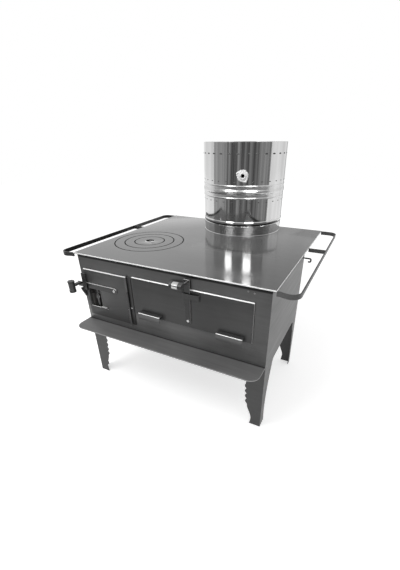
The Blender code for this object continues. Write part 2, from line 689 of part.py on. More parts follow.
def front_shelf():
    """The ledge along the front, with round front corners and a softened edge."""
    top = STOVE_HEIGHT - SHELF_DROP
    back, front = FRONT_Y - GAP, FRONT_Y - SHELF_DEPTH
    corners = [(-BODY_HALF, back), (-BODY_HALF, front), (BODY_HALF, front), (BODY_HALF, back)]
    slab = prism(rounded(corners, SHELF_CORNER), "z", (top - SHELF_THICKNESS, top))

    def is_free_edge(edge):
        flat = abs(edge.verts[0].co.z - edge.verts[1].co.z) < GAP
        return flat and any(end.co.y < back - GAP for end in edge.verts)

    shelf = shape("front_shelf", bevelled(slab, is_free_edge, SHELF_EDGE))
    finish(shelf, BLUED_STEEL, (0, back, top), smooth=True)


def knuckle(piece, ends):
    """Weld a hinge knuckle to a door or leaf."""
    add(piece, cylinder("z", (HINGE_X, HINGE_Y), BARREL_RADIUS, ends))


def pin_bore():
    """The bore for the firebox hinge pin, to cut out of door and leaf."""
    return cylinder("z", (HINGE_X, HINGE_Y), PIN_RADIUS + PIN_PLAY,
                    (FIRE_BOTTOM - OVERRUN, FIRE_TOP + OVERRUN))


def firebox_door(carrier):
    """The door plate with its draught opening, its two hinge knuckles and the rivet hole."""
    door = shape("firebox_door", block((FIRE_LEFT, FIRE_RIGHT), (DOOR_FACE, DOOR_BACK),
                                       (FIRE_BOTTOM, FIRE_TOP)))
    through = (DOOR_FACE - OVERRUN, DOOR_BACK + OVERRUN)
    cut(door, block((DRAUGHT_LEFT, DRAUGHT_RIGHT), through, (DRAUGHT_BOTTOM, DRAUGHT_TOP)))
    cut(door, block((DRAUGHT_LEFT + OVERRUN, DRAUGHT_RIGHT + NOTCH_WIDTH), through,
                    (DRAUGHT_BOTTOM, DRAUGHT_BOTTOM + NOTCH_HEIGHT)))
    for ends in door_knuckles():
        add(door, block((FIRE_RIGHT - OVERRUN, HINGE_X), (DOOR_FACE, DOOR_BACK), ends))
        knuckle(door, ends)
    cut(door, pin_bore())
    cut(door, cylinder("y", (FIREBOX_RIVET_X, FIREBOX_RIVET_Z), RIVET_SHANK_RADIUS + GAP, through))
    finish(door, BLUED_STEEL, (HINGE_X, HINGE_Y, FIRE_BOTTOM), carrier, smooth=True)


def knuckle_splits():
    """Heights at which the hinge changes from door to leaf and back."""
    return [FIRE_BOTTOM + FIREBOX_DOOR_HEIGHT * share for share in KNUCKLE_SHARES]


def door_knuckles():
    """Lower and upper ends of the two knuckles on the door."""
    lower, upper = knuckle_splits()
    return (FIRE_BOTTOM, lower), (upper, FIRE_TOP)


def firebox_hinge():
    """The fixed leaf with the middle knuckle, and the pin with its round head."""
    lower, upper = knuckle_splits()
    ends = (lower + KNUCKLE_GAP, upper - KNUCKLE_GAP)
    leaf_left = HINGE_X + BARREL_RADIUS
    leaf_y = (DOOR_BACK - SHEET, DOOR_BACK)
    leaf = shape("firebox_hinge_leaf", block((leaf_left, leaf_left + LEAF_WIDTH), leaf_y,
                                             (FIRE_BOTTOM, FIRE_TOP)))
    add(leaf, block((HINGE_X, leaf_left + OVERRUN), leaf_y, ends))
    knuckle(leaf, ends)
    cut(leaf, pin_bore())
    finish(leaf, BLUED_STEEL, (HINGE_X, HINGE_Y, FIRE_BOTTOM), smooth=True)

    seat = FIRE_TOP + GAP
    profile = [(0, FIRE_BOTTOM - PIN_RADIUS), (PIN_RADIUS, FIRE_BOTTOM - PIN_RADIUS), (PIN_RADIUS, seat),
               (PIN_HEAD_RADIUS, seat)]
    for step in range(1, ARC_STEPS):
        angle = math.pi / 2 * step / ARC_STEPS
        profile.append((PIN_HEAD_RADIUS * math.cos(angle), seat + PIN_HEAD_RADIUS * math.sin(angle)))
    profile.append((0, seat + PIN_HEAD_RADIUS))
    pin = shape("firebox_hinge_pin", turned(profile, (HINGE_X, HINGE_Y), SMALL_STEPS))
    finish(pin, BRIGHT_STEEL, (HINGE_X, HINGE_Y, FIRE_BOTTOM), smooth=True)


def bar_outline(square_end, pivot):
    """A latch bar along its own length: square at one end, round about its rivet at the other."""
    half = BAR_WIDTH / 2
    way = 1 if pivot > square_end else -1
    points = [(square_end, half), (square_end, -half)]
    for step in range(2 * ARC_STEPS + 1):
        angle = math.pi * step / (2 * ARC_STEPS) - math.pi / 2
        points.append((pivot + way * half * math.cos(angle), half * math.sin(angle)))
    return points


def rivet(name, x, z, carrier):
    """A domed rivet through a latch bar into its door."""
    face = BAR_FACE - GAP
    profile = [(0, DOOR_BACK), (RIVET_SHANK_RADIUS, DOOR_BACK), (RIVET_SHANK_RADIUS, face),
               (RIVET_HEAD_RADIUS, face)]
    for step in range(1, ARC_STEPS):
        angle = math.pi / 2 * step / ARC_STEPS
        profile.append((RIVET_HEAD_RADIUS * math.cos(angle),
                        face - RIVET_HEAD_RADIUS * math.sin(angle) / 2))
    profile.append((0, face - RIVET_HEAD_RADIUS / 2))
    bm = turned(profile, (0, 0), SMALL_STEPS)
    laid = Matrix.Rotation(math.pi / 2, 3, "X") @ Matrix.Scale(-1, 3, (0, 0, 1))
    bmesh.ops.rotate(bm, matrix=laid, verts=bm.verts)
    bmesh.ops.translate(bm, vec=(x, 0, z), verts=bm.verts)
    bmesh.ops.recalc_face_normals(bm, faces=bm.faces)
    finish(shape(name, bm), BRIGHT_STEEL, (x, BAR_FACE, z), carrier, smooth=True)


def bridge(low, high, back):
    """The outline of a guide: two legs on a door and a strap across them, as (place, depth) points."""
    inner = GUIDE_FACE + GUIDE_THICKNESS
    return [(low, back), (low, GUIDE_FACE), (high, GUIDE_FACE), (high, back),
            (high - GUIDE_THICKNESS, back), (high - GUIDE_THICKNESS, inner),
            (low + GUIDE_THICKNESS, inner), (low + GUIDE_THICKNESS, back)]


def grip_mesh(axis, centre, middle):
    """A barrel with softened ends along one axis; centre is its place in the two other axes."""
    low, high = middle - GRIP_LENGTH / 2, middle + GRIP_LENGTH / 2
    profile = [(0, low), (GRIP_RADIUS - GRIP_EDGE, low), (GRIP_RADIUS, low + GRIP_EDGE),
               (GRIP_RADIUS, high - GRIP_EDGE), (GRIP_RADIUS - GRIP_EDGE, high), (0, high)]
    if axis == "z":
        return turned(profile, centre, SMALL_STEPS)
    bm = turned(profile, (0, 0), SMALL_STEPS)
    bmesh.ops.rotate(bm, matrix=Matrix.Rotation(math.pi / 2, 3, "Y"), verts=bm.verts)
    bmesh.ops.translate(bm, vec=(0, *centre), verts=bm.verts)
    return bm


def handle(name, x, z, grip_axis, grip_middle, pivot, carrier):
    """A stub rod out of a latch bar, saddled to a cross barrel."""
    rod = shape(name + "_rod", cylinder("y", (x, z), ROD_RADIUS, (GRIP_Y, BAR_FACE - GAP)))
    across = (x, GRIP_Y) if grip_axis == "z" else (GRIP_Y, z)
    ends = (grip_middle - GRIP_LENGTH, grip_middle + GRIP_LENGTH)
    cut(rod, cylinder(grip_axis, across, GRIP_RADIUS + GAP, ends))
    finish(rod, BLACK_IRON, pivot, carrier, smooth=True)
    grip = shape(name + "_grip", grip_mesh(grip_axis, across, grip_middle))
    finish(grip, BRIGHT_STEEL, pivot, carrier, smooth=True)


def firebox_latch(door_carrier):
    """Rivet and guide on the firebox door, the lying bar with its upright grip, and the catch under it."""
    pivot = (FIREBOX_RIVET_X, BAR_FACE, FIREBOX_RIVET_Z)
    rivet("firebox_latch_rivet", FIREBOX_RIVET_X, FIREBOX_RIVET_Z, door_carrier)
    bar_carrier = axis_empty("firebox_latch_lift", pivot, door_carrier)
    outline = [(x, FIREBOX_RIVET_Z + z) for x, z in bar_outline(FIREBOX_BAR_END, FIREBOX_RIVET_X)]
    bar = shape("firebox_latch_bar", prism(outline, "y", (BAR_FACE, BAR_BACK)))
    cut(bar, cylinder("y", (FIREBOX_RIVET_X, FIREBOX_RIVET_Z), RIVET_SHANK_RADIUS + RIVET_PLAY,
                      (BAR_FACE - OVERRUN, BAR_BACK + OVERRUN)))
    finish(bar, BLUED_STEEL, pivot, bar_carrier, smooth=True)
    rod_z = FIREBOX_RIVET_Z + FIREBOX_ROD_RISE
    handle("firebox_handle", FIREBOX_BAR_END + FIREBOX_ROD_INSET, rod_z, "z",
           rod_z - GRIP_LENGTH * GRIP_OFFSET_SHARE, pivot, bar_carrier)

    guide_left = FIRE_LEFT - FIREBOX_GUIDE_OVERHANG
    ends = bridge(FIREBOX_RIVET_Z - FIREBOX_GUIDE_BELOW, FIREBOX_RIVET_Z + FIREBOX_GUIDE_ABOVE, BAR_BACK)
    guide = shape("firebox_latch_guide", prism([(y, z) for z, y in ends], "x",
                                               (guide_left, guide_left + FIREBOX_GUIDE_WIDTH)))
    finish(guide, BLUED_STEEL, (guide_left, BAR_BACK, FIREBOX_RIVET_Z), door_carrier)

    top = FIREBOX_RIVET_Z - BAR_WIDTH / 2 - CATCH_CLEARANCE
    low = top - FIREBOX_CATCH_HEIGHT
    nose = DOOR_BACK - FIREBOX_CATCH_REACH
    outline = [(DOOR_BACK, top), (nose, top), (nose, top - CATCH_FOOT), (DOOR_BACK - CATCH_FOOT, low),
               (DOOR_BACK, low)]
    left = FIREBOX_CATCH_FROM_SIDE - BODY_HALF
    catch = shape("firebox_latch_catch", prism(outline, "x", (left, left + CATCH_THICKNESS)))
    finish(catch, BLUED_STEEL, (left, DOOR_BACK, low))


def draught_control(door_carrier):
    """The shutter that slides behind the firebox door, its two guides and the upright bar between them."""
    upper = (SHUTTER_TOP + SHUTTER_PLAY, SHUTTER_TOP + SHUTTER_PLAY + SHUTTER_GUIDE_HEIGHT)
    lower = (SHUTTER_BOTTOM - SHUTTER_PLAY - SHUTTER_GUIDE_HEIGHT, SHUTTER_BOTTOM - SHUTTER_PLAY)
    length = (SHUTTER_LEFT - SHUTTER_TRAVEL, SHUTTER_RIGHT)
    lap_y = (SHUTTER_Y[1] + SHUTTER_PLAY, SHUTTER_GUIDE_BACK)
    for name, foot, lap in (("draught_guide_upper", upper, (upper[0] - SHUTTER_GUIDE_LAP, upper[1])),
                            ("draught_guide_lower", lower, (lower[0], lower[1] + SHUTTER_GUIDE_LAP))):
        guide = shape(name, block(length, lap_y, lap))
        add(guide, block(length, (SHUTTER_Y[0], lap_y[1] - SHUTTER_PLAY), foot))
        finish(guide, BLUED_STEEL, (length[0], SHUTTER_Y[0], foot[0]), door_carrier)

    middle = (DRAUGHT_LEFT + DRAUGHT_RIGHT) / 2
    back = SHUTTER_GUIDE_BACK + GAP
    bar = shape("draught_grille", block((middle - GRILLE_WIDTH / 2, middle + GRILLE_WIDTH / 2),
                                        (back, back + SHEET), (lower[0], upper[1])))
    add(bar, cylinder("y", (middle, (DRAUGHT_TOP + DRAUGHT_BOTTOM) / 2), GRILLE_RING_RADIUS,
                      (back - GAP / 3, back + SHEET + GAP)))
    finish(bar, BLUED_STEEL, (middle, back, DRAUGHT_BOTTOM), door_carrier, smooth=True)

    slide = (SHUTTER_LEFT, SHUTTER_Y[0], SHUTTER_BOTTOM)
    shutter_carrier = axis_empty("draught_shutter_slide", slide, door_carrier)
    shutter = shape("draught_shutter", block((SHUTTER_LEFT, SHUTTER_RIGHT), SHUTTER_Y,
                                             (SHUTTER_BOTTOM, SHUTTER_TOP)))
    lip_left = SHUTTER_LEFT + GAP
    lip_low = DRAUGHT_BOTTOM + (NOTCH_HEIGHT - SHUTTER_THICKNESS) / 2
    add(shutter, block((lip_left, lip_left + SHUTTER_LIP_WIDTH),
                       (SHUTTER_Y[0] - SHUTTER_LIP_REACH, SHUTTER_Y[1] - GAP),
                       (lip_low, lip_low + SHUTTER_THICKNESS)))
    finish(shutter, BLUED_STEEL, slide, shutter_carrier)


def oven_door(carrier):
    """The drop-down door plate."""
    door = shape("oven_door", block((OVEN_LEFT, OVEN_RIGHT), (DOOR_FACE, DOOR_BACK),
                                    (OVEN_BOTTOM, OVEN_TOP)))
    cut(door, cylinder("y", (OVEN_RIVET_X, OVEN_RIVET_Z), RIVET_SHANK_RADIUS + GAP,
                       (DOOR_FACE - OVERRUN, DOOR_BACK + OVERRUN)))
    finish(door, BLUED_STEEL, (OVEN_LEFT, OVEN_PIN_Y, OVEN_PIN_Z), carrier, smooth=True)


def oven_latch(door_carrier):
    """Rivet and guide on the oven door, the upright bar with its lying grip, and the catch beside it."""
    pivot = (OVEN_RIVET_X, BAR_FACE, OVEN_RIVET_Z)
    rivet("oven_latch_rivet", OVEN_RIVET_X, OVEN_RIVET_Z, door_carrier)
    bar_carrier = axis_empty("oven_latch_swing", pivot, door_carrier)
    outline = [(OVEN_RIVET_X + x, z) for z, x in bar_outline(OVEN_BAR_END, OVEN_RIVET_Z)]
    bar = shape("oven_latch_bar", prism(outline, "y", (BAR_FACE, BAR_BACK)))
    cut(bar, cylinder("y", (OVEN_RIVET_X, OVEN_RIVET_Z), RIVET_SHANK_RADIUS + RIVET_PLAY,
                      (BAR_FACE - OVERRUN, BAR_BACK + OVERRUN)))
    finish(bar, BLUED_STEEL, pivot, bar_carrier, smooth=True)
    handle("oven_handle", OVEN_RIVET_X, OVEN_BAR_END - OVEN_ROD_INSET, "x",
           OVEN_RIVET_X - GRIP_LENGTH * OVEN_GRIP_OFFSET_SHARE, pivot, bar_carrier)

    guide_left = OVEN_RIVET_X - BAR_WIDTH / 2 - OVEN_GUIDE_SIDE_SLACK - GUIDE_THICKNESS
    top = OVEN_TOP - OVEN_GUIDE_DROP
    outline = bridge(guide_left, guide_left + OVEN_GUIDE_WIDTH, BAR_BACK)
    guide = shape("oven_latch_guide", prism(outline, "z", (top - OVEN_GUIDE_HEIGHT, top)))
    finish(guide, BLUED_STEEL, (guide_left, BAR_BACK, top), door_carrier)

    right = OVEN_RIVET_X - BAR_WIDTH / 2 - CATCH_CLEARANCE
    outline = [(right, DOOR_BACK), (right - OVEN_CATCH_LENGTH, DOOR_BACK),
               (right - OVEN_CATCH_LENGTH, DOOR_BACK - CATCH_FOOT / 2),
               (right - CATCH_FOOT, DOOR_BACK - OVEN_CATCH_REACH), (right, DOOR_BACK - OVEN_CATCH_REACH)]
    low = OVEN_TOP + OVEN_CATCH_RISE
    catch = shape("oven_latch_catch", prism(outline, "z", (low, low + CATCH_THICKNESS)))
    finish(catch, BLUED_STEEL, (right, DOOR_BACK, low))


def wavy_skirt(left, right):
    """Front flange of a hinge hood, with a wavy lower edge, as (x, z) points."""
    top = OVEN_BOTTOM + HOOD_RISE
    low = OVEN_BOTTOM - HOOD_SKIRT
    points = [(right, top), (left, top)]
    steps = HOOD_WAVE_COUNT * ARC_STEPS
    for step in range(steps + 1):
        wave = HOOD_WAVE * math.sin(math.pi * HOOD_WAVE_COUNT * step / steps) ** 2
        points.append((left + (right - left) * step / steps, low + wave))
    return points


def oven_hinge(side, left, door_carrier):
    """One oven hinge: the hood with its two ears on the door, the lug on the body, and the pin."""
    right = left + HOOD_WIDTH
    back, front = DOOR_FACE - GAP, DOOR_FACE - HOOD_REACH
    top = OVEN_BOTTOM + HOOD_RISE
    skirt = prism(wavy_skirt(left, right), "y", (front, front + HOOD_SHEET))
    hood = shape("oven_hinge_hood_" + side, skirt)
    add(hood, block((left, right), (front, back), (top - HOOD_SHEET, top)))
    ears = (left + EAR_INSET, right - EAR_INSET)
    for ear, way in zip(ears, (1, -1)):
        add(hood, block((ear, ear + way * SHEET), (front + GAP, back),
                        (OVEN_BOTTOM - HOOD_SKIRT + HOOD_WAVE + GAP, top - GAP)))
    pin_ends = (ears[0] - SHEET, ears[1] + SHEET)
    cut(hood, cylinder("x", (OVEN_PIN_Y, OVEN_PIN_Z), OVEN_PIN_RADIUS + GAP,
                       (pin_ends[0] - OVERRUN, pin_ends[1] + OVERRUN)))
    pivot = (left, OVEN_PIN_Y, OVEN_PIN_Z)
    finish(hood, BLUED_STEEL, pivot, door_carrier)

    lug_ends = (ears[0] + SHEET + LUG_PLAY, ears[1] - SHEET - LUG_PLAY)
    lug = shape("oven_hinge_lug_" + side, cylinder("x", (OVEN_PIN_Y, OVEN_PIN_Z), LUG_RADIUS, lug_ends))
    add(lug, block(lug_ends, (OVEN_PIN_Y, DOOR_BACK),
                   (OVEN_PIN_Z - LUG_RADIUS + GAP, OVEN_BOTTOM - LUG_PLAY)))
    cut(lug, cylinder("x", (OVEN_PIN_Y, OVEN_PIN_Z), OVEN_PIN_RADIUS + PIN_PLAY,
                      (lug_ends[0] - OVERRUN, lug_ends[1] + OVERRUN)))
    finish(lug, BLUED_STEEL, pivot, smooth=True)

    rod = cylinder("x", (OVEN_PIN_Y, OVEN_PIN_Z), OVEN_PIN_RADIUS, pin_ends)
    finish(shape("oven_hinge_pin_" + side, rod), BRIGHT_STEEL, pivot, door_carrier, smooth=True)


def oven_inside():
    """The oven box with a rack ledge on each side, and the rack on them."""
    box = shape("oven_box", block((OVEN_BOX_LEFT, OVEN_BOX_RIGHT), (INNER_FRONT_Y, OVEN_BOX_BACK),
                                  (OVEN_BOX_BOTTOM, OVEN_BOX_TOP)))
    inside = (OVEN_BOX_LEFT + OVEN_SHEET, OVEN_BOX_RIGHT - OVEN_SHEET)
    cut(box, block(inside, (INNER_FRONT_Y - OVERRUN, OVEN_BOX_BACK - OVEN_SHEET),
                   (OVEN_BOX_BOTTOM + OVEN_SHEET, OVEN_BOX_TOP - OVEN_SHEET)))
    middle = (OVEN_BOX_BOTTOM + OVEN_BOX_TOP) / 2
    for wall, way in zip(inside, (1, -1)):
        add(box, block((wall - way * OVEN_SHEET / 2, wall + way * OVEN_LEDGE),
                       (INNER_FRONT_Y + SHEET, OVEN_BOX_BACK - OVEN_SHEET / 2),
                       (middle - OVEN_SHEET, middle)))
    finish(box, BLACK_IRON, (OVEN_BOX_LEFT, INNER_FRONT_Y, OVEN_BOX_BOTTOM))

    left, right = inside[0] + RACK_PLAY, inside[1] - RACK_PLAY
    front = INNER_FRONT_Y + RACK_FRONT_SPACE
    back = OVEN_BOX_BACK - OVEN_SHEET - RACK_PLAY
    low = middle + GAP
    slide = (left, front, low)
    carrier = axis_empty("oven_rack_slide", slide)
    rack = shape("oven_rack", block((left, right), (front, back), (low, low + RACK_THICKNESS)))
    pitch = (right - left - 2 * RACK_RIM + RACK_BAR) / (RACK_BAR_COUNT + 1)
    for number in range(RACK_BAR_COUNT + 1):
        slot_left = left + RACK_RIM + pitch * number
        cut(rack, block((slot_left, slot_left + pitch - RACK_BAR), (front + RACK_RIM, back - RACK_RIM),
                        (low - OVERRUN, low + RACK_THICKNESS + OVERRUN)))
    finish(rack, BRIGHT_STEEL, slide, carrier)


def fire_inside():
    """The firebrick lining with its ledges, the slotted grate on them, and the ash tray below."""
    foot = FLOOR_TOP + GAP
    grate_seat = GRATE_TOP - GRATE_THICKNESS - GAP
    lengths = (BRICK_FRONT, BRICK_BACK)
    for name, wall, way, top in (("firebrick_left", LEFT_WALL, 1, PANEL_TOP - BRICK_TOP_DROP),
                                 ("firebrick_right", RIGHT_WALL, -1, PANEL_TOP - RIGHT_BRICK_TOP_DROP)):
        thin, thick = wall + way * BRICK, wall + way * (BRICK + BRICK_LEDGE)
        outline = [(wall, foot), (thick, foot), (thick, grate_seat), (thin, grate_seat), (thin, top),
                   (wall, top)]
        finish(shape(name, prism(outline, "y", lengths)), FIREBRICK, (wall, lengths[0], foot))
    brick_face = BRICK_BACK - BACK_BRICK
    left = LEFT_WALL + BRICK + BRICK_LEDGE + GAP
    right = RIGHT_WALL - BRICK - BRICK_LEDGE - GAP
    back_brick = shape("firebrick_back", block((left, right), (brick_face, BRICK_BACK),
                                               (foot, PANEL_TOP - RIGHT_BRICK_TOP_DROP)))
    finish(back_brick, FIREBRICK, (left, brick_face, foot))

    grate_left, grate_right = LEFT_WALL + BRICK + GRATE_PLAY, RIGHT_WALL - BRICK - GRATE_PLAY
    front, back = INNER_FRONT_Y + GRATE_FRONT_SPACE, brick_face - GRATE_PLAY
    heights = (GRATE_TOP - GRATE_THICKNESS, GRATE_TOP)
    grate = shape("grate", block((grate_left, grate_right), (front, back), heights))
    solid_rim = BRICK_LEDGE + GRATE_PLAY + GRATE_RIM / 2
    pitch = (grate_right - grate_left - 2 * solid_rim - GRATE_SLOT) / (GRATE_SLOT_COUNT - 1)
    for number in range(GRATE_SLOT_COUNT):
        slot_left = grate_left + solid_rim + pitch * number
        cut(grate, block((slot_left, slot_left + GRATE_SLOT), (front + GRATE_RIM, back - GRATE_RIM),
                         (heights[0] - OVERRUN, heights[1] + OVERRUN)))
    finish(grate, BLACK_IRON, (grate_left, front, heights[0]))

    tray_left = max(left, FIRE_LEFT + DOOR_LAP) + TRAY_SIDE_PLAY
    tray_right = min(right, FIRE_RIGHT - DOOR_LAP) - TRAY_SIDE_PLAY
    front = INNER_FRONT_Y + TRAY_FRONT_SPACE
    slide = (tray_left, front, foot)
    carrier = axis_empty("ash_tray_slide", slide)
    tray = shape("ash_tray", block((tray_left, tray_right), (front, front + TRAY_LENGTH),
                                   (foot, foot + TRAY_HEIGHT)))
    cut(tray, block((tray_left + TRAY_SHEET, tray_right - TRAY_SHEET),
                    (front + TRAY_SHEET, front + TRAY_LENGTH - TRAY_SHEET),
                    (foot + TRAY_SHEET, foot + TRAY_HEIGHT + OVERRUN)))
    middle = (tray_left + tray_right) / 2
    handle_z = foot + TRAY_HEIGHT * TRAY_HANDLE_RISE_SHARE
    add(tray, block((middle - TRAY_HANDLE_WIDTH / 2, middle + TRAY_HANDLE_WIDTH / 2),
                    (front - TRAY_HANDLE_REACH, front + TRAY_SHEET / 2), (handle_z, handle_z + TRAY_SHEET)))
    finish(tray, BLACK_IRON, slide, carrier)


def smoke_way():
    """The smoke box under the tank, and the damper that slides over the hole into it."""
    left, right = TANK_OFFSET - FLUE_BOX_WIDTH / 2, TANK_OFFSET + FLUE_BOX_WIDTH / 2
    front, back = BACK_Y + GAP, BACK_Y + FLUE_BOX_DEPTH
    low = PANEL_TOP - FLUE_BOX_HEIGHT
    box = shape("flue_box", block((left, right), (front, back), (low, PANEL_TOP)))
    cut(box, block((left + FLUE_BOX_SHEET, right - FLUE_BOX_SHEET),
                   (front - OVERRUN, back - FLUE_BOX_SHEET),
                   (low + FLUE_BOX_SHEET, PANEL_TOP + OVERRUN)))
    finish(box, BLUED_STEEL, (TANK_OFFSET, front, PANEL_TOP))

    plate_low, plate_high = SMOKE_BOTTOM - DAMPER_LAP, SMOKE_TOP + DAMPER_LAP
    slide = (DAMPER_RIGHT, DAMPER_ROD_Y, DAMPER_ROD_Z)
    carrier = axis_empty("damper_slide", slide)
    plate = shape("damper_plate", block((DAMPER_LEFT, DAMPER_RIGHT), DAMPER_Y, (plate_low, plate_high)))
    add(plate, block((DAMPER_RIGHT - DAMPER_THICKNESS, DAMPER_RIGHT - GAP),
                     (DAMPER_ROD_Y - DAMPER_TAB / 2, DAMPER_Y[1] - GAP),
                     (DAMPER_ROD_Z - DAMPER_TAB / 2, DAMPER_ROD_Z + DAMPER_TAB / 2)))
    finish(plate, BLUED_STEEL, slide, carrier)
    damper_rod(slide, carrier)

    length = (DAMPER_LEFT, DAMPER_RIGHT + DAMPER_TRAVEL)
    lap_y = (DAMPER_Y[0] - DAMPER_PLAY - DAMPER_THICKNESS, DAMPER_Y[0] - DAMPER_PLAY)
    upper = (plate_high + DAMPER_PLAY, plate_high + DAMPER_PLAY + DAMPER_GUIDE_HEIGHT)
    lower = (plate_low - DAMPER_PLAY - DAMPER_GUIDE_HEIGHT, plate_low - DAMPER_PLAY)
    for name, guide_foot, lap in (("damper_guide_upper", upper, (upper[0] - DAMPER_GUIDE_LAP, upper[1])),
                                  ("damper_guide_lower", lower, (lower[0], lower[1] + DAMPER_GUIDE_LAP))):
        guide = shape(name, block(length, lap_y, lap))
        add(guide, block(length, (lap_y[0] + DAMPER_PLAY, INNER_BACK_Y), guide_foot))
        finish(guide, BLUED_STEEL, (length[0], INNER_BACK_Y, guide_foot[0]))


def damper_rod(slide, carrier):
    """A wire through the right side, hooked over outside to pull on."""
    end = BODY_HALF + DAMPER_ROD_REACH
    low = DAMPER_ROD_Z - DAMPER_HOOK_DROP
    corners = [(slide[0] + GAP, DAMPER_ROD_Z), (end, DAMPER_ROD_Z), (end, low),
               (end - DAMPER_HOOK_RETURN, low)]
    curve = bpy.data.curves.new("damper_rod", "CURVE")
    curve.dimensions = "3D"
    curve.bevel_depth = DAMPER_ROD_RADIUS
    curve.bevel_resolution = 2
    curve.use_fill_caps = True
    points = rounded(corners, DAMPER_HOOK_BEND)
    line = curve.splines.new("POLY")
    line.points.add(len(points) - 1)
    for target, (x, z) in zip(line.points, points):
        target.co = (x, DAMPER_ROD_Y, z, 1)
    wire = bpy.data.objects.new("wire", curve)
    bpy.context.collection.objects.link(wire)
    graph = bpy.context.evaluated_depsgraph_get()
    mesh = bpy.data.meshes.new_from_object(wire.evaluated_get(graph), depsgraph=graph)
    bpy.data.objects.remove(wire)
    rod = bpy.data.objects.new("damper_rod", mesh)
    bpy.context.collection.objects.link(rod)
    finish(rod, BLACK_IRON, slide, carrier, smooth=True)


def tank_outline():
    """Outer side of the tank jacket from foot to rim, as (radius, height) points."""
    wall = TANK_RADIUS - TANK_LIP
    points = [(TANK_RADIUS, TANK_FOOT), (TANK_RADIUS, TANK_FOOT + TANK_LIP_HEIGHT),
              (wall, TANK_FOOT + TANK_LIP_HEIGHT + TANK_LIP)]
    ridges = [(TANK_GROOVE_RISE, TANK_GROOVE_WIDTH, -TANK_GROOVE_DEPTH),
              (TANK_BEAD_RISE - TANK_SMALL_BEAD_SPACING, TANK_SMALL_BEAD_WIDTH, TANK_SMALL_BEAD_DEPTH),
              (TANK_BEAD_RISE, TANK_BEAD_WIDTH, TANK_BEAD_DEPTH),
              (TANK_BEAD_RISE + TANK_SMALL_BEAD_SPACING, TANK_SMALL_BEAD_WIDTH, TANK_SMALL_BEAD_DEPTH)]
    steps = ARC_STEPS - 2
    for rise, width, depth in ridges:
        for step in range(steps + 1):
            share = step / steps
            points.append((wall + depth * math.sin(math.pi * share),
                           TANK_FOOT + rise + width * (share - 1 / 2)))
    top = TANK_FOOT + TANK_HEIGHT
    points += [(wall, top - TANK_RIM_HEIGHT - TANK_LIP), (TANK_RADIUS, top - TANK_RIM_HEIGHT),
               (TANK_RADIUS, top)]
    return points


def socket_turn(bm):
    """Turn a mesh made along +X to where the outlet socket points, on the tank."""
    turn = Matrix.Rotation(math.radians(SOCKET_AZIMUTH), 3, "Z")
    bmesh.ops.rotate(bm, matrix=turn, verts=bm.verts)
    bmesh.ops.translate(bm, vec=(*TANK_CENTRE, 0), verts=bm.verts)
    return bm


def tank():
    """Jacket, base, sunk lid, the smoke pipe through the middle, and the outlet socket."""
    wall = TANK_RADIUS - TANK_LIP
    inner = wall - TANK_GROOVE_DEPTH - TANK_SHEET
    top = TANK_FOOT + TANK_HEIGHT
    profile = tank_outline()
    profile += [(inner, top), (inner, TANK_FOOT)]
    jacket = shape("tank_jacket", turned(profile, TANK_CENTRE, TANK_STEPS))
    height = TANK_FOOT + SOCKET_RISE
    reach = (inner - OVERRUN, wall + OVERRUN)
    cut(jacket, socket_turn(cylinder("x", (0, height), SOCKET_RADIUS + GAP, reach)))
    finish(jacket, STAINLESS, (*TANK_CENTRE, TANK_FOOT), smooth=True)

    disc_edge = inner - GAP
    pipe_hole = FLUE_RADIUS + GAP
    for name, low in (("tank_base_plate", TANK_FOOT), ("tank_lid", top - LID_SINK)):
        face = low + TANK_SHEET
        profile = [(pipe_hole, low), (disc_edge, low), (disc_edge, face), (pipe_hole, face)]
        disc = shape(name, turned(profile, TANK_CENTRE, TANK_STEPS))
        finish(disc, STAINLESS, (*TANK_CENTRE, low), smooth=True)

    profile = [(FLUE_RADIUS - FLUE_SHEET, TANK_FOOT), (FLUE_RADIUS, TANK_FOOT), (FLUE_RADIUS, top),
               (FLUE_RADIUS - FLUE_SHEET, top)]
    pipe = shape("tank_flue", turned(profile, TANK_CENTRE))
    finish(pipe, BLUED_STEEL, (*TANK_CENTRE, TANK_FOOT), smooth=True)

    flange_face = wall + SOCKET_FLANGE
    disc = cylinder("x", (0, height), SOCKET_FLANGE_RADIUS, (inner, flange_face), ROUND_STEPS // 2)
    socket = shape("tank_outlet_socket", disc)
    saddle = [(0, TANK_FOOT), (wall + GAP, TANK_FOOT), (wall + GAP, top), (0, top)]
    cut(socket, turned(saddle, (0, 0), 4 * ROUND_STEPS))
    ends = (inner - SOCKET_LENGTH / 2, flange_face + SOCKET_LENGTH / 2)
    add(socket, cylinder("x", (0, height), SOCKET_RADIUS, ends))
    cut(socket, cylinder("x", (0, height), SOCKET_BORE_RADIUS, (ends[0] - OVERRUN, ends[1] + OVERRUN)))
    socket.data.transform(Matrix.Rotation(math.radians(SOCKET_AZIMUTH), 4, "Z"))
    socket.data.transform(Matrix.Translation((*TANK_CENTRE, 0)))
    finish(socket, BRIGHT_STEEL, (*TANK_CENTRE, height), smooth=True)


def stove():
    """Build every piece."""
    clear_scene()
    hotplate()
    hob()
    rail("left_rail", -1)
    rail("right_rail", 1)
    front_panel()
    back_panel()
    side_panels()
    floor_panel()
    front_shelf()
    firebox_hinge()
    firebox_carrier = axis_empty("firebox_door_swing", (HINGE_X, HINGE_Y, FIRE_BOTTOM))
    firebox_door(firebox_carrier)
    firebox_latch(firebox_carrier)
    draught_control(firebox_carrier)
    oven_carrier = axis_empty("oven_door_drop", (OVEN_LEFT, OVEN_PIN_Y, OVEN_PIN_Z))
    oven_door(oven_carrier)
    oven_latch(oven_carrier)
    oven_hinge("left", OVEN_LEFT + HOOD_INSET, oven_carrier)
    oven_hinge("right", OVEN_RIGHT - HOOD_INSET - HOOD_WIDTH, oven_carrier)
    oven_inside()
    fire_inside()
    smoke_way()
    tank()


stove()
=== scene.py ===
import math

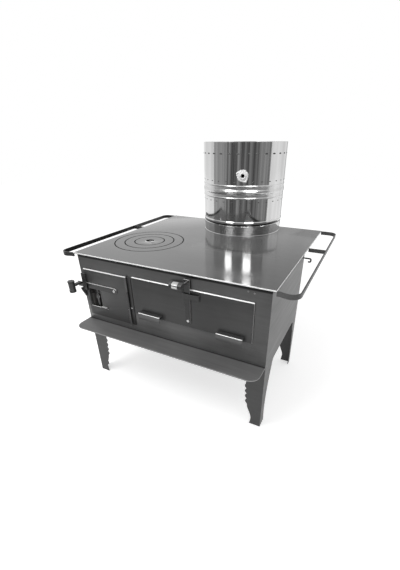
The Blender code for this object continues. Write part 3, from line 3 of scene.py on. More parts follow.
import bmesh
import bpy
from mathutils import Matrix, Vector


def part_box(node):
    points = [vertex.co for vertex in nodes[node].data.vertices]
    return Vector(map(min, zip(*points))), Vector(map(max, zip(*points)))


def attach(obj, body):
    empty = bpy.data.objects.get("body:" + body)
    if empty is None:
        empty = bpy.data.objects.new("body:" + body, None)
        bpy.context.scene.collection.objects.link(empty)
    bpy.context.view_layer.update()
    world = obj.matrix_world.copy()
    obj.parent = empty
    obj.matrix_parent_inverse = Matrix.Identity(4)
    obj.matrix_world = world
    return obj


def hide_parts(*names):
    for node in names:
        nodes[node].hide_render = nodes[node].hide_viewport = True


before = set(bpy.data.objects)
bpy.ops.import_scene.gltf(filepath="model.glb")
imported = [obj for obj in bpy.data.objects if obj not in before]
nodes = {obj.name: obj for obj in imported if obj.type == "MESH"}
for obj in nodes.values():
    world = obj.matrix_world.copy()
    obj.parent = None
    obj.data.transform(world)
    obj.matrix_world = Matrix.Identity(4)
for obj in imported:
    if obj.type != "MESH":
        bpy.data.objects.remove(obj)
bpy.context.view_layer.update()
scene = bpy.context.scene

# Camera and view
# It stands off the front right corner, level with the tank's rim, and looks down on the hotplate.
# Its small shift sets the stove in the frame as the photograph does.
LENS = 19.626
LENS_SHIFT = (-0.0200, 0.0510)
CAMERA_RIGHT = 0.7045
CAMERA_AHEAD = 0.9442
CAMERA_RISE = 1.1168
CAMERA_TURN = (60.6605, 0.2976, 26.5756)
camera_data = bpy.data.cameras.new("camera")
camera_data.lens = LENS
camera_data.shift_x, camera_data.shift_y = LENS_SHIFT
camera_data.clip_start = 0.01
camera = bpy.data.objects.new("camera", camera_data)
camera.location = (CAMERA_RIGHT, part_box("hotplate")[0].y - CAMERA_AHEAD, CAMERA_RISE)
camera.rotation_euler = [math.radians(turn) for turn in CAMERA_TURN]
scene.collection.objects.link(camera)
scene.camera = camera
scene.view_settings.view_transform = "Standard"


# Studio floor and world
# A pale floor under a white world. Both look white to the camera and in the metal, and the floor
# keeps a soft shadow.
WORLD_FILL = 0.62
FLOOR_SHADE = 0.80
FLOOR_LIFT = 0.58
FLOOR_HALF = 9.0


def joined(tree, operation, first, second):
    """One Math node on two values or numbers."""
    made = tree.nodes.new("ShaderNodeMath")
    made.operation = operation
    for number, value in enumerate((first, second)):
        if isinstance(value, (int, float)):
            made.inputs[number].default_value = value
        else:
            tree.links.new(value, made.inputs[number])
    return made.outputs[0]


def ranged(tree, source, start, end, low=0, high=1):
    """Carry one span of values over to another and hold it at its ends."""
    made = tree.nodes.new("ShaderNodeMapRange")
    for name, value in (("From Min", start), ("From Max", end), ("To Min", low), ("To Max", high)):
        made.inputs[name].default_value = value
    tree.links.new(source, made.inputs["Value"])
    return made.outputs["Result"]


def seen_directly(tree):
    """A value of one for camera, glossy and transmission rays."""
    path = tree.nodes.new("ShaderNodeLightPath")
    either = joined(tree, "MAXIMUM", path.outputs["Is Camera Ray"], path.outputs["Is Glossy Ray"])
    return joined(tree, "MAXIMUM", either, path.outputs["Is Transmission Ray"])


def new_material(name):
    """A material with its node tree and its shader."""
    material = bpy.data.materials.new(name)
    material.use_nodes = True
    tree = material.node_tree
    return material, tree, tree.nodes["Principled BSDF"]


def as_mesh(name, bm):
    """A finished bmesh as mesh data."""
    mesh = bpy.data.meshes.new(name)
    bm.to_mesh(mesh)
    bm.free()
    return mesh


world = bpy.data.worlds.new("studio")
world.use_nodes = True
tree = world.node_tree
background = tree.nodes["Background"]
background.inputs["Color"].default_value = (1, 1, 1, 1)
strength = ranged(tree, seen_directly(tree), 0, 1, WORLD_FILL, 1)
tree.links.new(strength, background.inputs["Strength"])
scene.world = world

floor_material, tree, shader = new_material("floor")
shader.inputs["Base Color"].default_value = (FLOOR_SHADE, FLOOR_SHADE, FLOOR_SHADE, 1)
shader.inputs["Roughness"].default_value = 1
shader.inputs["Specular IOR Level"].default_value = 0
shader.inputs["Emission Color"].default_value = (1, 1, 1, 1)
glow = joined(tree, "MULTIPLY", seen_directly(tree), FLOOR_LIFT)
tree.links.new(glow, shader.inputs["Emission Strength"])
bm = bmesh.new()
bmesh.ops.create_grid(bm, x_segments=1, y_segments=1, size=FLOOR_HALF)
floor = bpy.data.objects.new("floor", as_mesh("floor", bm))
floor.data.materials.append(floor_material)
scene.collection.objects.link(floor)


# Studio lamps and screens
# One large lamp at the left lights the stove. Two soft boxes and three curved screens, dark in
# front and grey at the left and the back, are there only for the bright metal to mirror.
tank_low, tank_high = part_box("tank_jacket")
tank_x = (tank_low.x + tank_high.x) / 2
tank_y = (tank_low.y + tank_high.y) / 2
CAMERA_SIDE = -68.9
SCREEN_REACH = 2.7
SCREEN_STREAK = (1, 1, 0.04)
SCREEN_CONTRAST = (0.35, 0.68)


def soft_box(name, turn, distance, rise, width, height, watts, shows):
    """A rectangular lamp that looks at the tank's foot from one side of the camera.

    One that shows is seen in the metal and lights nothing else; the other kind only lights.
    """
    lamp = bpy.data.lights.new(name, "AREA")
    lamp.shape = "RECTANGLE"
    lamp.size = width
    lamp.size_y = height
    lamp.energy = watts
    holder = bpy.data.objects.new(name, lamp)
    angle = math.radians(CAMERA_SIDE + turn)
    place = Vector((tank_x + distance * math.cos(angle), tank_y + distance * math.sin(angle), rise))
    holder.location = place
    aim = Vector((tank_x, tank_y, tank_low.z)) - place
    holder.rotation_euler = aim.to_track_quat("-Z", "Y").to_euler()
    holder.visible_camera = False
    holder.visible_glossy = shows
    holder.visible_diffuse = not shows
    scene.collection.objects.link(holder)


def noise(tree, vector, scale=1, detail=4):
    """A soft random pattern over a set of coordinates."""
    made = tree.nodes.new("ShaderNodeTexNoise")
    made.inputs["Scale"].default_value = scale
    made.inputs["Detail"].default_value = detail
    tree.links.new(vector, made.inputs["Vector"])
    return made.outputs["Fac"]


def own_place(tree):
    """The piece's own coordinates."""
    return tree.nodes.new("ShaderNodeTexCoord").outputs["Object"]


def mapped(tree, vector, scale=(1, 1, 1), shift=(0, 0, 0)):
    """Coordinates scaled and then shifted."""
    made = tree.nodes.new("ShaderNodeMapping")
    made.inputs["Scale"].default_value = scale
    made.inputs["Location"].default_value = shift
    tree.links.new(vector, made.inputs["Vector"])
    return made.outputs["Vector"]


def screen(name, start, end, top, shade, streaks):
    """A curved upright screen around the tank that only reflections see."""
    bm = bmesh.new()
    reach = Vector((SCREEN_REACH, 0, 0))
    foot = bm.verts.new(reach)
    head = bm.verts.new(reach + Vector((0, 0, top)))
    side = bm.edges.new((foot, head))
    turn = Matrix.Rotation(math.radians(CAMERA_SIDE + start), 3, "Z")
    bmesh.ops.rotate(bm, matrix=turn, verts=bm.verts)
    bmesh.ops.spin(bm, geom=[foot, head, side], axis=(0, 0, 1), cent=(0, 0, 0),
                   angle=math.radians(end - start), steps=24)
    bmesh.ops.translate(bm, vec=(tank_x, tank_y, 0), verts=bm.verts)
    wall = bpy.data.objects.new(name, as_mesh(name, bm))
    material, tree, shader = new_material(name)
    shader.inputs["Base Color"].default_value = (0, 0, 0, 1)
    shader.inputs["Roughness"].default_value = 1
    shader.inputs["Specular IOR Level"].default_value = 0
    shader.inputs["Emission Strength"].default_value = 1
    pattern = noise(tree, mapped(tree, own_place(tree), SCREEN_STREAK), scale=3.2, detail=3)
    glow = ranged(tree, pattern, *SCREEN_CONTRAST, shade, shade + streaks)
    tree.links.new(glow, shader.inputs["Emission Color"])
    wall.data.materials.append(material)
    scene.collection.objects.link(wall)
    wall.visible_camera = False
    wall.visible_diffuse = False
    wall.visible_shadow = False


soft_box("soft_box_right", turn=20.2, distance=2.4, rise=1.90, width=1.00, height=1.05, watts=38,
         shows=True)
soft_box("soft_box_left", turn=-36, distance=2.4, rise=1.90, width=0.90, height=1.05, watts=31,
         shows=True)
soft_box("key", turn=-48, distance=2.2, rise=3.0, width=1.60, height=1.60, watts=42, shows=False)
screen("screen_front", start=-55, end=72, top=2.08, shade=0.075, streaks=0.32)
screen("screen_left", start=-90, end=-55, top=2.08, shade=0.36, streaks=0.16)
screen("screen_back", start=146, end=181, top=3.2, shade=0.52, streaks=0.10)


# Hotplate
# One thick ground steel plate, laser cut, with the hob's round opening over the fire. Its cut
# edges are sooty round the opening. Outside they are painted near white, ground steel with a
# painted highlight, and their foot is painted black as the plate's shadow.
PLATE_SHADE = 0.150
PLATE_SPREAD = 0.012
PLATE_EASE = 0.0010
# Painted highlight on the plate's outer cut edges, and painted shadow in a band at their foot.
EDGE_HIGHLIGHT = 0.95
EDGE_SHADOW_BAND = 0.0018
hob_low, hob_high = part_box("hob_ring_outer")
hob_x = (hob_low.x + hob_high.x) / 2
hob_y = (hob_low.y + hob_high.y) / 2
plate_low, plate_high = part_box("hotplate")
PLAY = 0.0006
JOINT_RADII = [(high.x - low.x + PLAY) / 2 for low, high in
               (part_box("hob_ring_outer"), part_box("hob_ring_middle"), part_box("hob_lid"))]
JOINT_SOOT = 0.0027
SOOT_REACH = 0.178
# The soot tone is also the tone of the painted shadows on the plate.
SOOT_AND_SHADOW_TONE = 0.01
SOOT_ROUGHNESS = 0.8
# The lifter dish is painted: a bright reflection at its near side and a black shadow at its far
# side.
DISH_RADIUS = 0.0235
DISH_LIP = 0.0001
DISH_SHADOW_OFFSET = 0.009
DISH_SLANT = 0.5
DISH_HIGHLIGHT = 0.85
DISH_METALLIC = 0.5
DISH_ROUGHNESS = 0.3
CUT_ROUGHNESS = 0.42
CUT_METALLIC = 0.15
EDGE_TURN = (0.97, 0.80)
TOP_TURN = (0.45, 0.65)
GRAIN_DEPTH = 0.0004
PATTERN_MIDDLE = (0.3, 0.7)
FLAT = (0, 0, 1)
SAME_PLACE = 0.0002
DOUBLES = 0.00002


def rolled_grain_group():
    """Long fine streaks, broad soft patches and small specks on Object coordinates."""
    group = bpy.data.node_groups.new("rolled_grain", "ShaderNodeTree")
    stretch = group.interface.new_socket("Stretch", in_out="INPUT", socket_type="NodeSocketVector")
    stretch.default_value = (1, 1, 1)
    scale = group.interface.new_socket("Patch Scale", in_out="INPUT", socket_type="NodeSocketFloat")
    scale.default_value = 4
    for name in ("Streaks", "Patches", "Specks"):
        group.interface.new_socket(name, in_out="OUTPUT", socket_type="NodeSocketFloat")
    entry = group.nodes.new("NodeGroupInput")
    leave = group.nodes.new("NodeGroupOutput")
    place = own_place(group)
    drawn = group.nodes.new("ShaderNodeVectorMath")
    drawn.operation = "MULTIPLY"
    group.links.new(place, drawn.inputs[0])
    group.links.new(entry.outputs["Stretch"], drawn.inputs[1])
    streaks = noise(group, drawn.outputs["Vector"])
    streaks.node.inputs["Roughness"].default_value = 0.6
    patches = noise(group, place, detail=2)
    group.links.new(entry.outputs["Patch Scale"], patches.node.inputs["Scale"])
    specks = noise(group, place, scale=420, detail=1)
    for name, pattern in (("Streaks", streaks), ("Patches", patches), ("Specks", specks)):
        group.links.new(pattern, leave.inputs[name])
    return group


def reach_along(tree, vector, direction):
    """How far a normal or a place reaches along a direction."""
    made = tree.nodes.new("ShaderNodeVectorMath")
    made.operation = "DOT_PRODUCT"
    tree.links.new(vector, made.inputs[0])
    if isinstance(direction, tuple):
        made.inputs[1].default_value = direction
    else:
        tree.links.new(direction, made.inputs[1])
    return made.outputs["Value"]


def cut_edge_group():
    """A mask of the faces that a cut has left: those that turn away from the sheet's own face."""
    group = bpy.data.node_groups.new("cut_edge", "ShaderNodeTree")
    facing = group.interface.new_socket("Sheet Facing", in_out="INPUT",
                                        socket_type="NodeSocketVector")
    facing.default_value = FLAT
    for name in ("Edge", "Top"):
        group.interface.new_socket(name, in_out="OUTPUT", socket_type="NodeSocketFloat")
    entry = group.nodes.new("NodeGroupInput")
    leave = group.nodes.new("NodeGroupOutput")
    normal = group.nodes.new("ShaderNodeTexCoord").outputs["Normal"]
    square_on = reach_along(group, normal, entry.outputs["Sheet Facing"])
    edge = ranged(group, joined(group, "ABSOLUTE", square_on, 0), *EDGE_TURN)
    upward = ranged(group, reach_along(group, normal, FLAT), *TOP_TURN)
    group.links.new(edge, leave.inputs["Edge"])
    group.links.new(joined(group, "MULTIPLY", upward, edge), leave.inputs["Top"])
    return group


rolled_grain = rolled_grain_group()
cut_edge = cut_edge_group()


def spread(tree, source, low, high):
    """Carry a pattern's middle range over to a pair of values."""
    return ranged(tree, source, *PATTERN_MIDDLE, low, high)


def blended(tree, mask, plain, marked):
    """Mix a value, or a plain number, towards another where a mask is one."""
    mix = tree.nodes.new("ShaderNodeMix")
    mix.data_type = "FLOAT"
    tree.links.new(mask, mix.inputs["Factor"])
    for socket, value in (("A", plain), ("B", marked)):
        if isinstance(value, (int, float)):
            mix.inputs[socket].default_value = value
        else:
            tree.links.new(value, mix.inputs[socket])
    return mix.outputs["Result"]


def bumped(tree, height, strength, distance, under=None):
    """A surface normal raised by a pattern, if need be over another normal."""
    made = tree.nodes.new("ShaderNodeBump")
    made.inputs["Strength"].default_value = strength
    made.inputs["Distance"].default_value = distance
    tree.links.new(height, made.inputs["Height"])
    if under is not None:
        tree.links.new(under, made.inputs["Normal"])
    return made.outputs["Normal"]


def sheet_steel(name, shade, variation, roughness, stretch, facing, edge_shade, top_highlight=None,
                metallic=0.88, grain=0.05, patch_scale=4, streaking=0.10):
    """Rolled steel with streaks, patches and specks, and its cut edges in their own shade.

    Stretch draws the streaks out, and facing is the way that the sheet's own face looks. A top
    highlight is a bright colour painted on the cut edges that face upward: a painted highlight.
    """
    material, tree, shader = new_material(name)
    pattern = tree.nodes.new("ShaderNodeGroup")
    pattern.node_tree = rolled_grain
    pattern.inputs["Stretch"].default_value = stretch
    pattern.inputs["Patch Scale"].default_value = patch_scale
    edges = tree.nodes.new("ShaderNodeGroup")
    edges.node_tree = cut_edge
    edges.name = "cut edges"
    edges.inputs["Sheet Facing"].default_value = facing
    edge = edges.outputs["Edge"]
    patches = spread(tree, pattern.outputs["Patches"], shade - variation, shade + variation)
    streaks = spread(tree, pattern.outputs["Streaks"], 1 - streaking, 1 + streaking)
    face = joined(tree, "MULTIPLY", patches, streaks)
    rim = spread(tree, pattern.outputs["Specks"], edge_shade * 0.86, edge_shade)
    colour = blended(tree, edge, face, rim)
    # Painted highlight on the cut edges that face upward.
    if top_highlight is not None:
        painted_highlight = spread(tree, pattern.outputs["Specks"], top_highlight * 0.9, top_highlight)
        colour = blended(tree, edges.outputs["Top"], colour, painted_highlight)
    tree.links.new(colour, shader.inputs["Base Color"])
    dull = spread(tree, pattern.outputs["Streaks"], roughness * 0.88, roughness * 1.16)
    tree.links.new(blended(tree, edge, dull, CUT_ROUGHNESS), shader.inputs["Roughness"])
    tree.links.new(blended(tree, edge, metallic, CUT_METALLIC), shader.inputs["Metallic"])
    raised = bumped(tree, pattern.outputs["Streaks"], grain, GRAIN_DEPTH)
    tree.links.new(raised, shader.inputs["Normal"])
    return material


def placed(name, bm, material, body, replaced=(), smooth=20):
    """Put a finished mesh into the scene, shaded smooth up to an angle, on its CAD body."""
    mesh = as_mesh(name, bm)
    mesh.materials.append(material)
    piece = bpy.data.objects.new(name, mesh)
    scene.collection.objects.link(piece)
    mesh.shade_smooth()
    mesh.set_sharp_from_angle(angle=math.radians(smooth))
    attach(piece, body)
    if replaced:
        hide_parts(*replaced)


def eased_copy(node, width, crown=0, crown_steps=1, crown_end=0):
    """A copy of a CAD node's mesh, merged, with its sharp edges rounded off.

    A crown is a wider chamfer or bend along the upper front corner, and may end short of the right
    end.
    """
    bm = bmesh.new()
    bm.from_mesh(nodes[node].data)
    bmesh.ops.remove_doubles(bm, verts=bm.verts, dist=DOUBLES)
    bmesh.ops.dissolve_limit(bm, angle_limit=math.radians(1), verts=bm.verts, edges=bm.edges)
    if crown_end:
        bmesh.ops.bisect_plane(bm, geom=bm.verts[:] + bm.edges[:] + bm.faces[:],
                               plane_co=(crown_end, 0, 0), plane_no=(1, 0, 0))
    if crown:
        front = max((face for face in bm.faces if face.normal.y < -0.99),
                    key=lambda face: face.calc_area())
        line_y = front.verts[0].co.y
        line_z = max(vert.co.z for vert in front.verts)
        corner = [edge for edge in front.edges
                  if all(abs(vert.co.z - line_z) < SAME_PLACE for vert in edge.verts)
                  and all(abs(vert.co.y - line_y) < SAME_PLACE for vert in edge.verts)]
        bmesh.ops.bevel(bm, geom=corner, offset=crown, segments=crown_steps, profile=0.5,
                        affect="EDGES", material=-1, clamp_overlap=True)
    sharp = [edge for edge in bm.edges
             if len(edge.link_faces) == 2 and edge.calc_face_angle(0) > math.radians(40)]
    bmesh.ops.bevel(bm, geom=sharp, offset=width, segments=2, profile=0.5, affect="EDGES",
                    material=-1, clamp_overlap=True)
    return bm


def spun(profile, centre, steps, closed=True):
    """A profile of radius and height pairs turned about an upright line."""
    bm = bmesh.new()
    points = [bm.verts.new((radius, 0, height)) for radius, height in profile]
    edges = [bm.edges.new(pair) for pair in zip(points, points[1:])]
    if closed:
        edges.append(bm.edges.new((points[-1], points[0])))
    bmesh.ops.spin(bm, geom=points + edges, axis=(0, 0, 1), cent=(0, 0, 0), angle=2 * math.pi,
                   steps=steps, use_merge=True)
    bmesh.ops.remove_doubles(bm, verts=bm.verts, dist=DOUBLES)
    bmesh.ops.recalc_face_normals(bm, faces=bm.faces)
    bmesh.ops.translate(bm, vec=(centre[0], centre[1], 0), verts=bm.verts)
    return bm


def off_line(tree, x, y):
    """The distance from an upright line."""
    length = tree.nodes.new("ShaderNodeVectorMath")
    length.operation = "LENGTH"
    tree.links.new(mapped(tree, own_place(tree), (1, 1, 0), (-x, -y, 0)), length.inputs[0])
    return length.outputs["Value"]


def near(tree, value, level, reach):
    """A mask of the places where a value is within reach of a level."""
    off = joined(tree, "ABSOLUTE", joined(tree, "SUBTRACT", value, level), 0)
    return joined(tree, "LESS_THAN", off, reach)


def axes(tree, vector):
    """The three parts of a set of coordinates, by name."""
    parts = tree.nodes.new("ShaderNodeSeparateXYZ")
    tree.links.new(vector, parts.inputs["Vector"])
    return parts.outputs


def plate_steel(name, rim_shade):
    """Ground plate: fine marks along its width, with black soot in and beside the hob's joints.

    The lifter dish in the lid is painted: a black shadow at its far side and a bright reflection at
    its near side. The foot of each cut edge is painted black as the plate's shadow.
    """
    material = sheet_steel(name, PLATE_SHADE, PLATE_SPREAD, 0.11, (6, 210, 210), FLAT, rim_shade,
                           metallic=0.35, grain=0.015, patch_scale=3, streaking=0.05)
    tree = material.node_tree
    shader = tree.nodes["Principled BSDF"]
    shader.inputs["Specular IOR Level"].default_value = 0.25
    distance = off_line(tree, hob_x, hob_y)
    place = axes(tree, own_place(tree))
    in_dish = joined(tree, "LESS_THAN", distance, DISH_RADIUS)
    near_hob = joined(tree, "LESS_THAN", distance, SOOT_REACH)
    near_hob = joined(tree, "SUBTRACT", near_hob, in_dish)
    # Painted shadow: the foot band of every cut edge is painted black, in the same mask as the
    # soot.
    shaded_edge_foot = joined(tree, "LESS_THAN", place["Z"], plate_low.z + EDGE_SHADOW_BAND)
    soot = joined(tree, "MULTIPLY", tree.nodes["cut edges"].outputs["Edge"],
                  joined(tree, "MAXIMUM", near_hob, shaded_edge_foot))
    for radius in JOINT_RADII:
        soot = joined(tree, "MAXIMUM", soot, near(tree, distance, radius, JOINT_SOOT))
    # Painted reflection and shadow in the lifter dish.
    sunk = joined(tree, "LESS_THAN", place["Z"], plate_high.z - DISH_LIP)
    dished = joined(tree, "MULTIPLY", in_dish, sunk)
    aside = joined(tree, "MULTIPLY", place["X"], DISH_SLANT)
    dish_far_shadow = joined(tree, "GREATER_THAN", joined(tree, "SUBTRACT", place["Y"], aside),
                   hob_y - hob_x * DISH_SLANT + DISH_SHADOW_OFFSET)
    dish_highlight = joined(tree, "MULTIPLY", dished, joined(tree, "SUBTRACT", 1, dish_far_shadow))
    soot = joined(tree, "MAXIMUM", soot, joined(tree, "MULTIPLY", dished, dish_far_shadow))
    for name, painted_highlight, soot_and_shadow_value in (("Base Color", DISH_HIGHLIGHT, SOOT_AND_SHADOW_TONE),
                               ("Metallic", DISH_METALLIC, 0.0),
                               ("Roughness", DISH_ROUGHNESS, SOOT_ROUGHNESS)):
        socket = shader.inputs[name]
        plain = blended(tree, dish_highlight, socket.links[0].from_socket, painted_highlight)
        tree.links.new(blended(tree, soot, plain, soot_and_shadow_value), socket)
    return material


placed("top_plate", eased_copy("hotplate", PLATE_EASE), plate_steel("ground_plate", EDGE_HIGHLIGHT),
       "stove", ["hotplate"])


# Hob rings and lid
# Two loose rings and a lid turned from the same plate, each lapping into the next. Their upper
# edges are chamfered and black with soot, so that the joints read as dark circles.
RING_CHAMFER = 0.0026
RING_LAP = 0.006
ring_material = plate_steel("ground_rings", 0.01)
top = plate_high.z
low = plate_low.z
step_z = low + (top - low) / 2
outer_edge = (hob_high.x - hob_low.x) / 2
middle_low, middle_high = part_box("hob_ring_middle")
lid_low, lid_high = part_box("hob_lid")
middle_edge = (middle_high.x - middle_low.x) / 2
lid_edge = (lid_high.x - lid_low.x) / 2


def lapped(edge):
    """The inner side of a ring, from above: a chamfer, and a ledge for the next ring's edge."""
    edge += PLAY
    return [(edge + RING_CHAMFER, top), (edge, top - RING_CHAMFER), (edge, step_z),
            (edge - RING_LAP, step_z), (edge - RING_LAP, low)]


outer_profile = [(outer_edge, low), (outer_edge, top - RING_CHAMFER),
                 (outer_edge - RING_CHAMFER, top)] + lapped(middle_edge)
placed("outer_ring", spun(outer_profile, (hob_x, hob_y), 128), ring_material, "hob_ring_outer",
       ["hob_ring_outer"])
middle_profile = [(middle_edge - RING_LAP, low), (middle_edge - RING_LAP, step_z + PLAY / 2),
                  (middle_edge, step_z + PLAY / 2), (middle_edge, top - RING_CHAMFER),
                  (middle_edge - RING_CHAMFER, top)] + lapped(lid_edge)
placed("middle_ring", spun(middle_profile, (hob_x, hob_y), 96), ring_material, "hob_ring_middle",
       ["hob_ring_middle"])
placed("hob_cover", eased_copy("hob_lid", RING_CHAMFER / 2), ring_material, "hob_lid",
       ["hob_lid"])


# Hob support ring
# A flat ring of sheet welded under the plate's opening. The outer hob ring lies on it.
SOOT = (0.022, 0.021, 0.020, 1)


def sooty(material, amount, scale=9):
    """Lay soot over a material in soft patches: it is darker, rougher and no longer metal."""
    tree = material.node_tree
    shader = tree.nodes["Principled BSDF"]
    cloud = noise(tree, own_place(tree), scale, detail=5)
    covered = ranged(tree, cloud, 0.62 - amount * 0.4, 0.75 - amount * 0.4)
    tint = tree.nodes.new("ShaderNodeMix")
    tint.data_type = "RGBA"
    tree.links.new(covered, tint.inputs["Factor"])
    base = shader.inputs["Base Color"]
    tree.links.new(base.links[0].from_socket, tint.inputs["A"])
    tint.inputs["B"].default_value = SOOT
    tree.links.new(tint.outputs["Result"], base)
    for name, value in (("Roughness", 0.9), ("Metallic", 0.0)):
        socket = shader.inputs[name]
        tree.links.new(blended(tree, covered, socket.links[0].from_socket, value), socket)


support_steel = sheet_steel("sooty_flat", 0.07, 0.02, 0.5, (9, 40, 40), FLAT, 0.08)
sooty(support_steel, amount=0.8)


def sheet_piece(name, node, material, body="stove", ease=0.0004, slot="blued_steel", **crown):
    """A CAD sheet with its cut edges eased, in its own steel."""
    placed(name, eased_copy(node, ease, **crown), material, body, [node])


sheet_piece("hob_ledge", "hob_support_ring", support_steel)


# Plate rails
# A bar of flat black iron bent round each end of the plate as a towel rail and guard, with a strut
# to the plate. Its upper corners carry a painted highlight, and the left bar is a darker copy of
# the right one's iron: painted shade.
rail_iron = sheet_steel("black_bar", 0.060, 0.016, 0.34, (40, 40, 40), FLAT, 0.085, 0.34,
                        metallic=0.75, grain=0.25, patch_scale=14)
# The left rail's darker copy of the iron is painted shade.
shaded_black_iron = sheet_steel("shaded_black_bar", 0.012, 0.004, 0.30, (40, 40, 40), FLAT, 0.015, 0.16,
                         metallic=0.30, grain=0.25, patch_scale=14)
sheet_piece("rail_left", "left_rail", shaded_black_iron, ease=0.0009, slot="black_iron")
sheet_piece("rail_right", "right_rail", rail_iron, ease=0.0009, slot="black_iron")


# Body sheets
# Front, back and sides are 3 mm blued sheet, laser cut in one piece with the four feet, whose
# inner edges are scalloped. Their corners are welded, and two screws sit at the front's upper
# right.
FRONT = (0, 1, 0)
SIDE = (1, 0, 0)
front_steel = sheet_steel("blued_front", 0.074, 0.008, 0.36, (5, 60, 60), FRONT, 0.12,
                          metallic=0.60)
side_steel = sheet_steel("blued_side", 0.085, 0.012, 0.34, (60, 5, 60), SIDE, 0.12, metallic=0.30)
side_steel.node_tree.nodes["Principled BSDF"].inputs["Specular IOR Level"].default_value = 0.15


def painted_light_and_shade(material, axis, start, end, factor):
    """Paint light and shade: a steel's colour times a factor, faded in between two places on an
    axis.
    """
    tree = material.node_tree
    base = tree.nodes["Principled BSDF"].inputs["Base Color"]
    fade = ranged(tree, axes(tree, own_place(tree))[axis], start, end, 1, factor)
    tree.links.new(joined(tree, "MULTIPLY", base.links[0].from_socket, fade), base)


back_steel = front_steel.copy()
back_steel.name = "blued_back"
shelf_low, shelf_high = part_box("front_shelf")
panel_low, panel_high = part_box("front_panel")
# Painted light and shade on the front: lighter low down as light thrown up by the shelf, darker
# below the shelf, and a dark band at the top as the plate's shadow.
painted_light_and_shade(front_steel, "Z", start=0.440, end=0.360, factor=2.3)
painted_light_and_shade(front_steel, "Z", start=shelf_high.z, end=shelf_low.z - 0.010, factor=0.36)
painted_light_and_shade(front_steel, "Z", start=panel_high.z - 0.0140, end=panel_high.z - 0.0105, factor=0.05)
# The sides and the back are painted darker towards the bottom: painted shade.
painted_light_and_shade(side_steel, "Z", start=0.36, end=0.10, factor=0.62)
painted_light_and_shade(back_steel, "Z", start=0.40, end=0.05, factor=0.55)
sheet_piece("front_sheet", "front_panel", front_steel)
sheet_piece("back_sheet", "back_panel", back_steel)
sheet_piece("side_sheet_left", "left_side_panel", side_steel)
sheet_piece("side_sheet_right", "right_side_panel", side_steel)
flat_steel = sheet_steel("blued_flat", 0.085, 0.014, 0.36, (7, 90, 90), FLAT, 0.16)
sooty(flat_steel, amount=0.35)
sheet_piece("body_floor", "floor_panel", flat_steel)

weld_metal = sheet_steel("weld_metal", 0.16, 0.05, 0.42, (160, 160, 420), FLAT, 0.16,
                         metallic=0.9, grain=0.5)
back_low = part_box("back_panel")[0]
WELD_BEAD = 0.0011
WELD_STANDS_OFF = 0.00015
WELD_SHORT = 0.004
bm = bmesh.new()
for x, y in ((panel_low.x, panel_high.y), (panel_high.x, panel_high.y),
             (panel_low.x, back_low.y), (panel_high.x, back_low.y)):
    inward = WELD_BEAD if x < 0 else -WELD_BEAD
    made = bmesh.ops.create_cone(bm, cap_ends=True, segments=10, radius1=WELD_BEAD,
                                 radius2=WELD_BEAD, depth=panel_high.z - WELD_SHORT)
    bmesh.ops.translate(bm, vec=(x + inward, y + WELD_STANDS_OFF, panel_high.z / 2),
                        verts=made["verts"])
placed("corner_welds", bm, weld_metal, "stove")


def add_part(bm, part):
    """Add a finished bmesh to another."""
    mesh = as_mesh("part", part)
    bm.from_mesh(mesh)
    bpy.data.meshes.remove(mesh)


POLE = 0.00001
SCREW_HEAD = 0.0034
SCREW_PLACES = ((0.372, 0.646), (0.396, 0.643))
screw_steel = sheet_steel("zinc_screw", 0.20, 0.04, 0.34, (300, 300, 300), FRONT, 0.24, metallic=1)
screw_profile = [(POLE, -0.0006), (SCREW_HEAD, -0.0006), (SCREW_HEAD, 0.0008),
                 (SCREW_HEAD * 0.8, 0.0016), (SCREW_HEAD * 0.4, 0.0021), (POLE, 0.0022)]


def facing_front(bm, place):
    """Stand an upright turned shape on a front face: its own up becomes the way forward."""
    bmesh.ops.rotate(bm, matrix=Matrix.Rotation(math.radians(90), 3, "X"), verts=bm.verts)
    bmesh.ops.translate(bm, vec=place, verts=bm.verts)
    return bm


def screw_head(place):
    """A low round head on a front face."""
    return facing_front(spun(screw_profile, (0, 0), 20, closed=False), place)


bm = bmesh.new()
for x, z in SCREW_PLACES:
    add_part(bm, screw_head((x, panel_low.y, z)))
placed("front_screws", bm, screw_steel, "stove")


# Front shelf
# A wide ledge of thicker sheet along the front that catches ash and carries tools. Its corners
# are rounded and its edge is left bare.
shelf_steel = sheet_steel("blued_shelf", 0.150, 0.014, 0.45, (5, 70, 70), FLAT, 0.34, metallic=0.20)
shelf_steel.node_tree.nodes["Principled BSDF"].inputs["Specular IOR Level"].default_value = 0.10
# Painted shade in the crease: the shelf is darker close to the front sheet.
painted_light_and_shade(shelf_steel, "Y", start=panel_low.y - 0.011, end=panel_low.y - 0.005, factor=0.22)
sheet_piece("ledge", "front_shelf", shelf_steel, ease=0.0008)


# Firebox door
# A 5 mm plate door hung on the right, with a tall slot for the draught. Its chamfered top edge is
# ground steel with a painted highlight, and ends short of the hinge, whose leaf is riveted to the
# front.
# A painted highlight for the upward cut edges of the doors and latch bars.
DOOR_EDGE_HIGHLIGHT = 0.95
DOOR_CHAMFER = 0.0034
KNUCKLE = 0.0130
LEAF_RIVET = (-0.177, -0.4383, 0.4505)
fire_door_steel = sheet_steel("blued_fire_door", 0.066, 0.007, 0.46, (5, 60, 60), FRONT, 0.16,
                              DOOR_EDGE_HIGHLIGHT, metallic=0.55)
hinge_steel = sheet_steel("blued_hinge", 0.060, 0.015, 0.40, (50, 50, 50), FRONT, 0.09)
bare_steel = sheet_steel("bare_steel", 0.62, 0.06, 0.22, (120, 120, 120), FRONT, 0.7, metallic=1)
fire_door_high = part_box("firebox_door")[1]
sheet_piece("fire_door", "firebox_door", fire_door_steel, "firebox_door", crown=DOOR_CHAMFER,
            crown_end=fire_door_high.x - KNUCKLE)
sheet_piece("fire_door_leaf", "firebox_hinge_leaf", hinge_steel)
sheet_piece("fire_door_pin", "firebox_hinge_pin", bare_steel, slot="bright_steel")
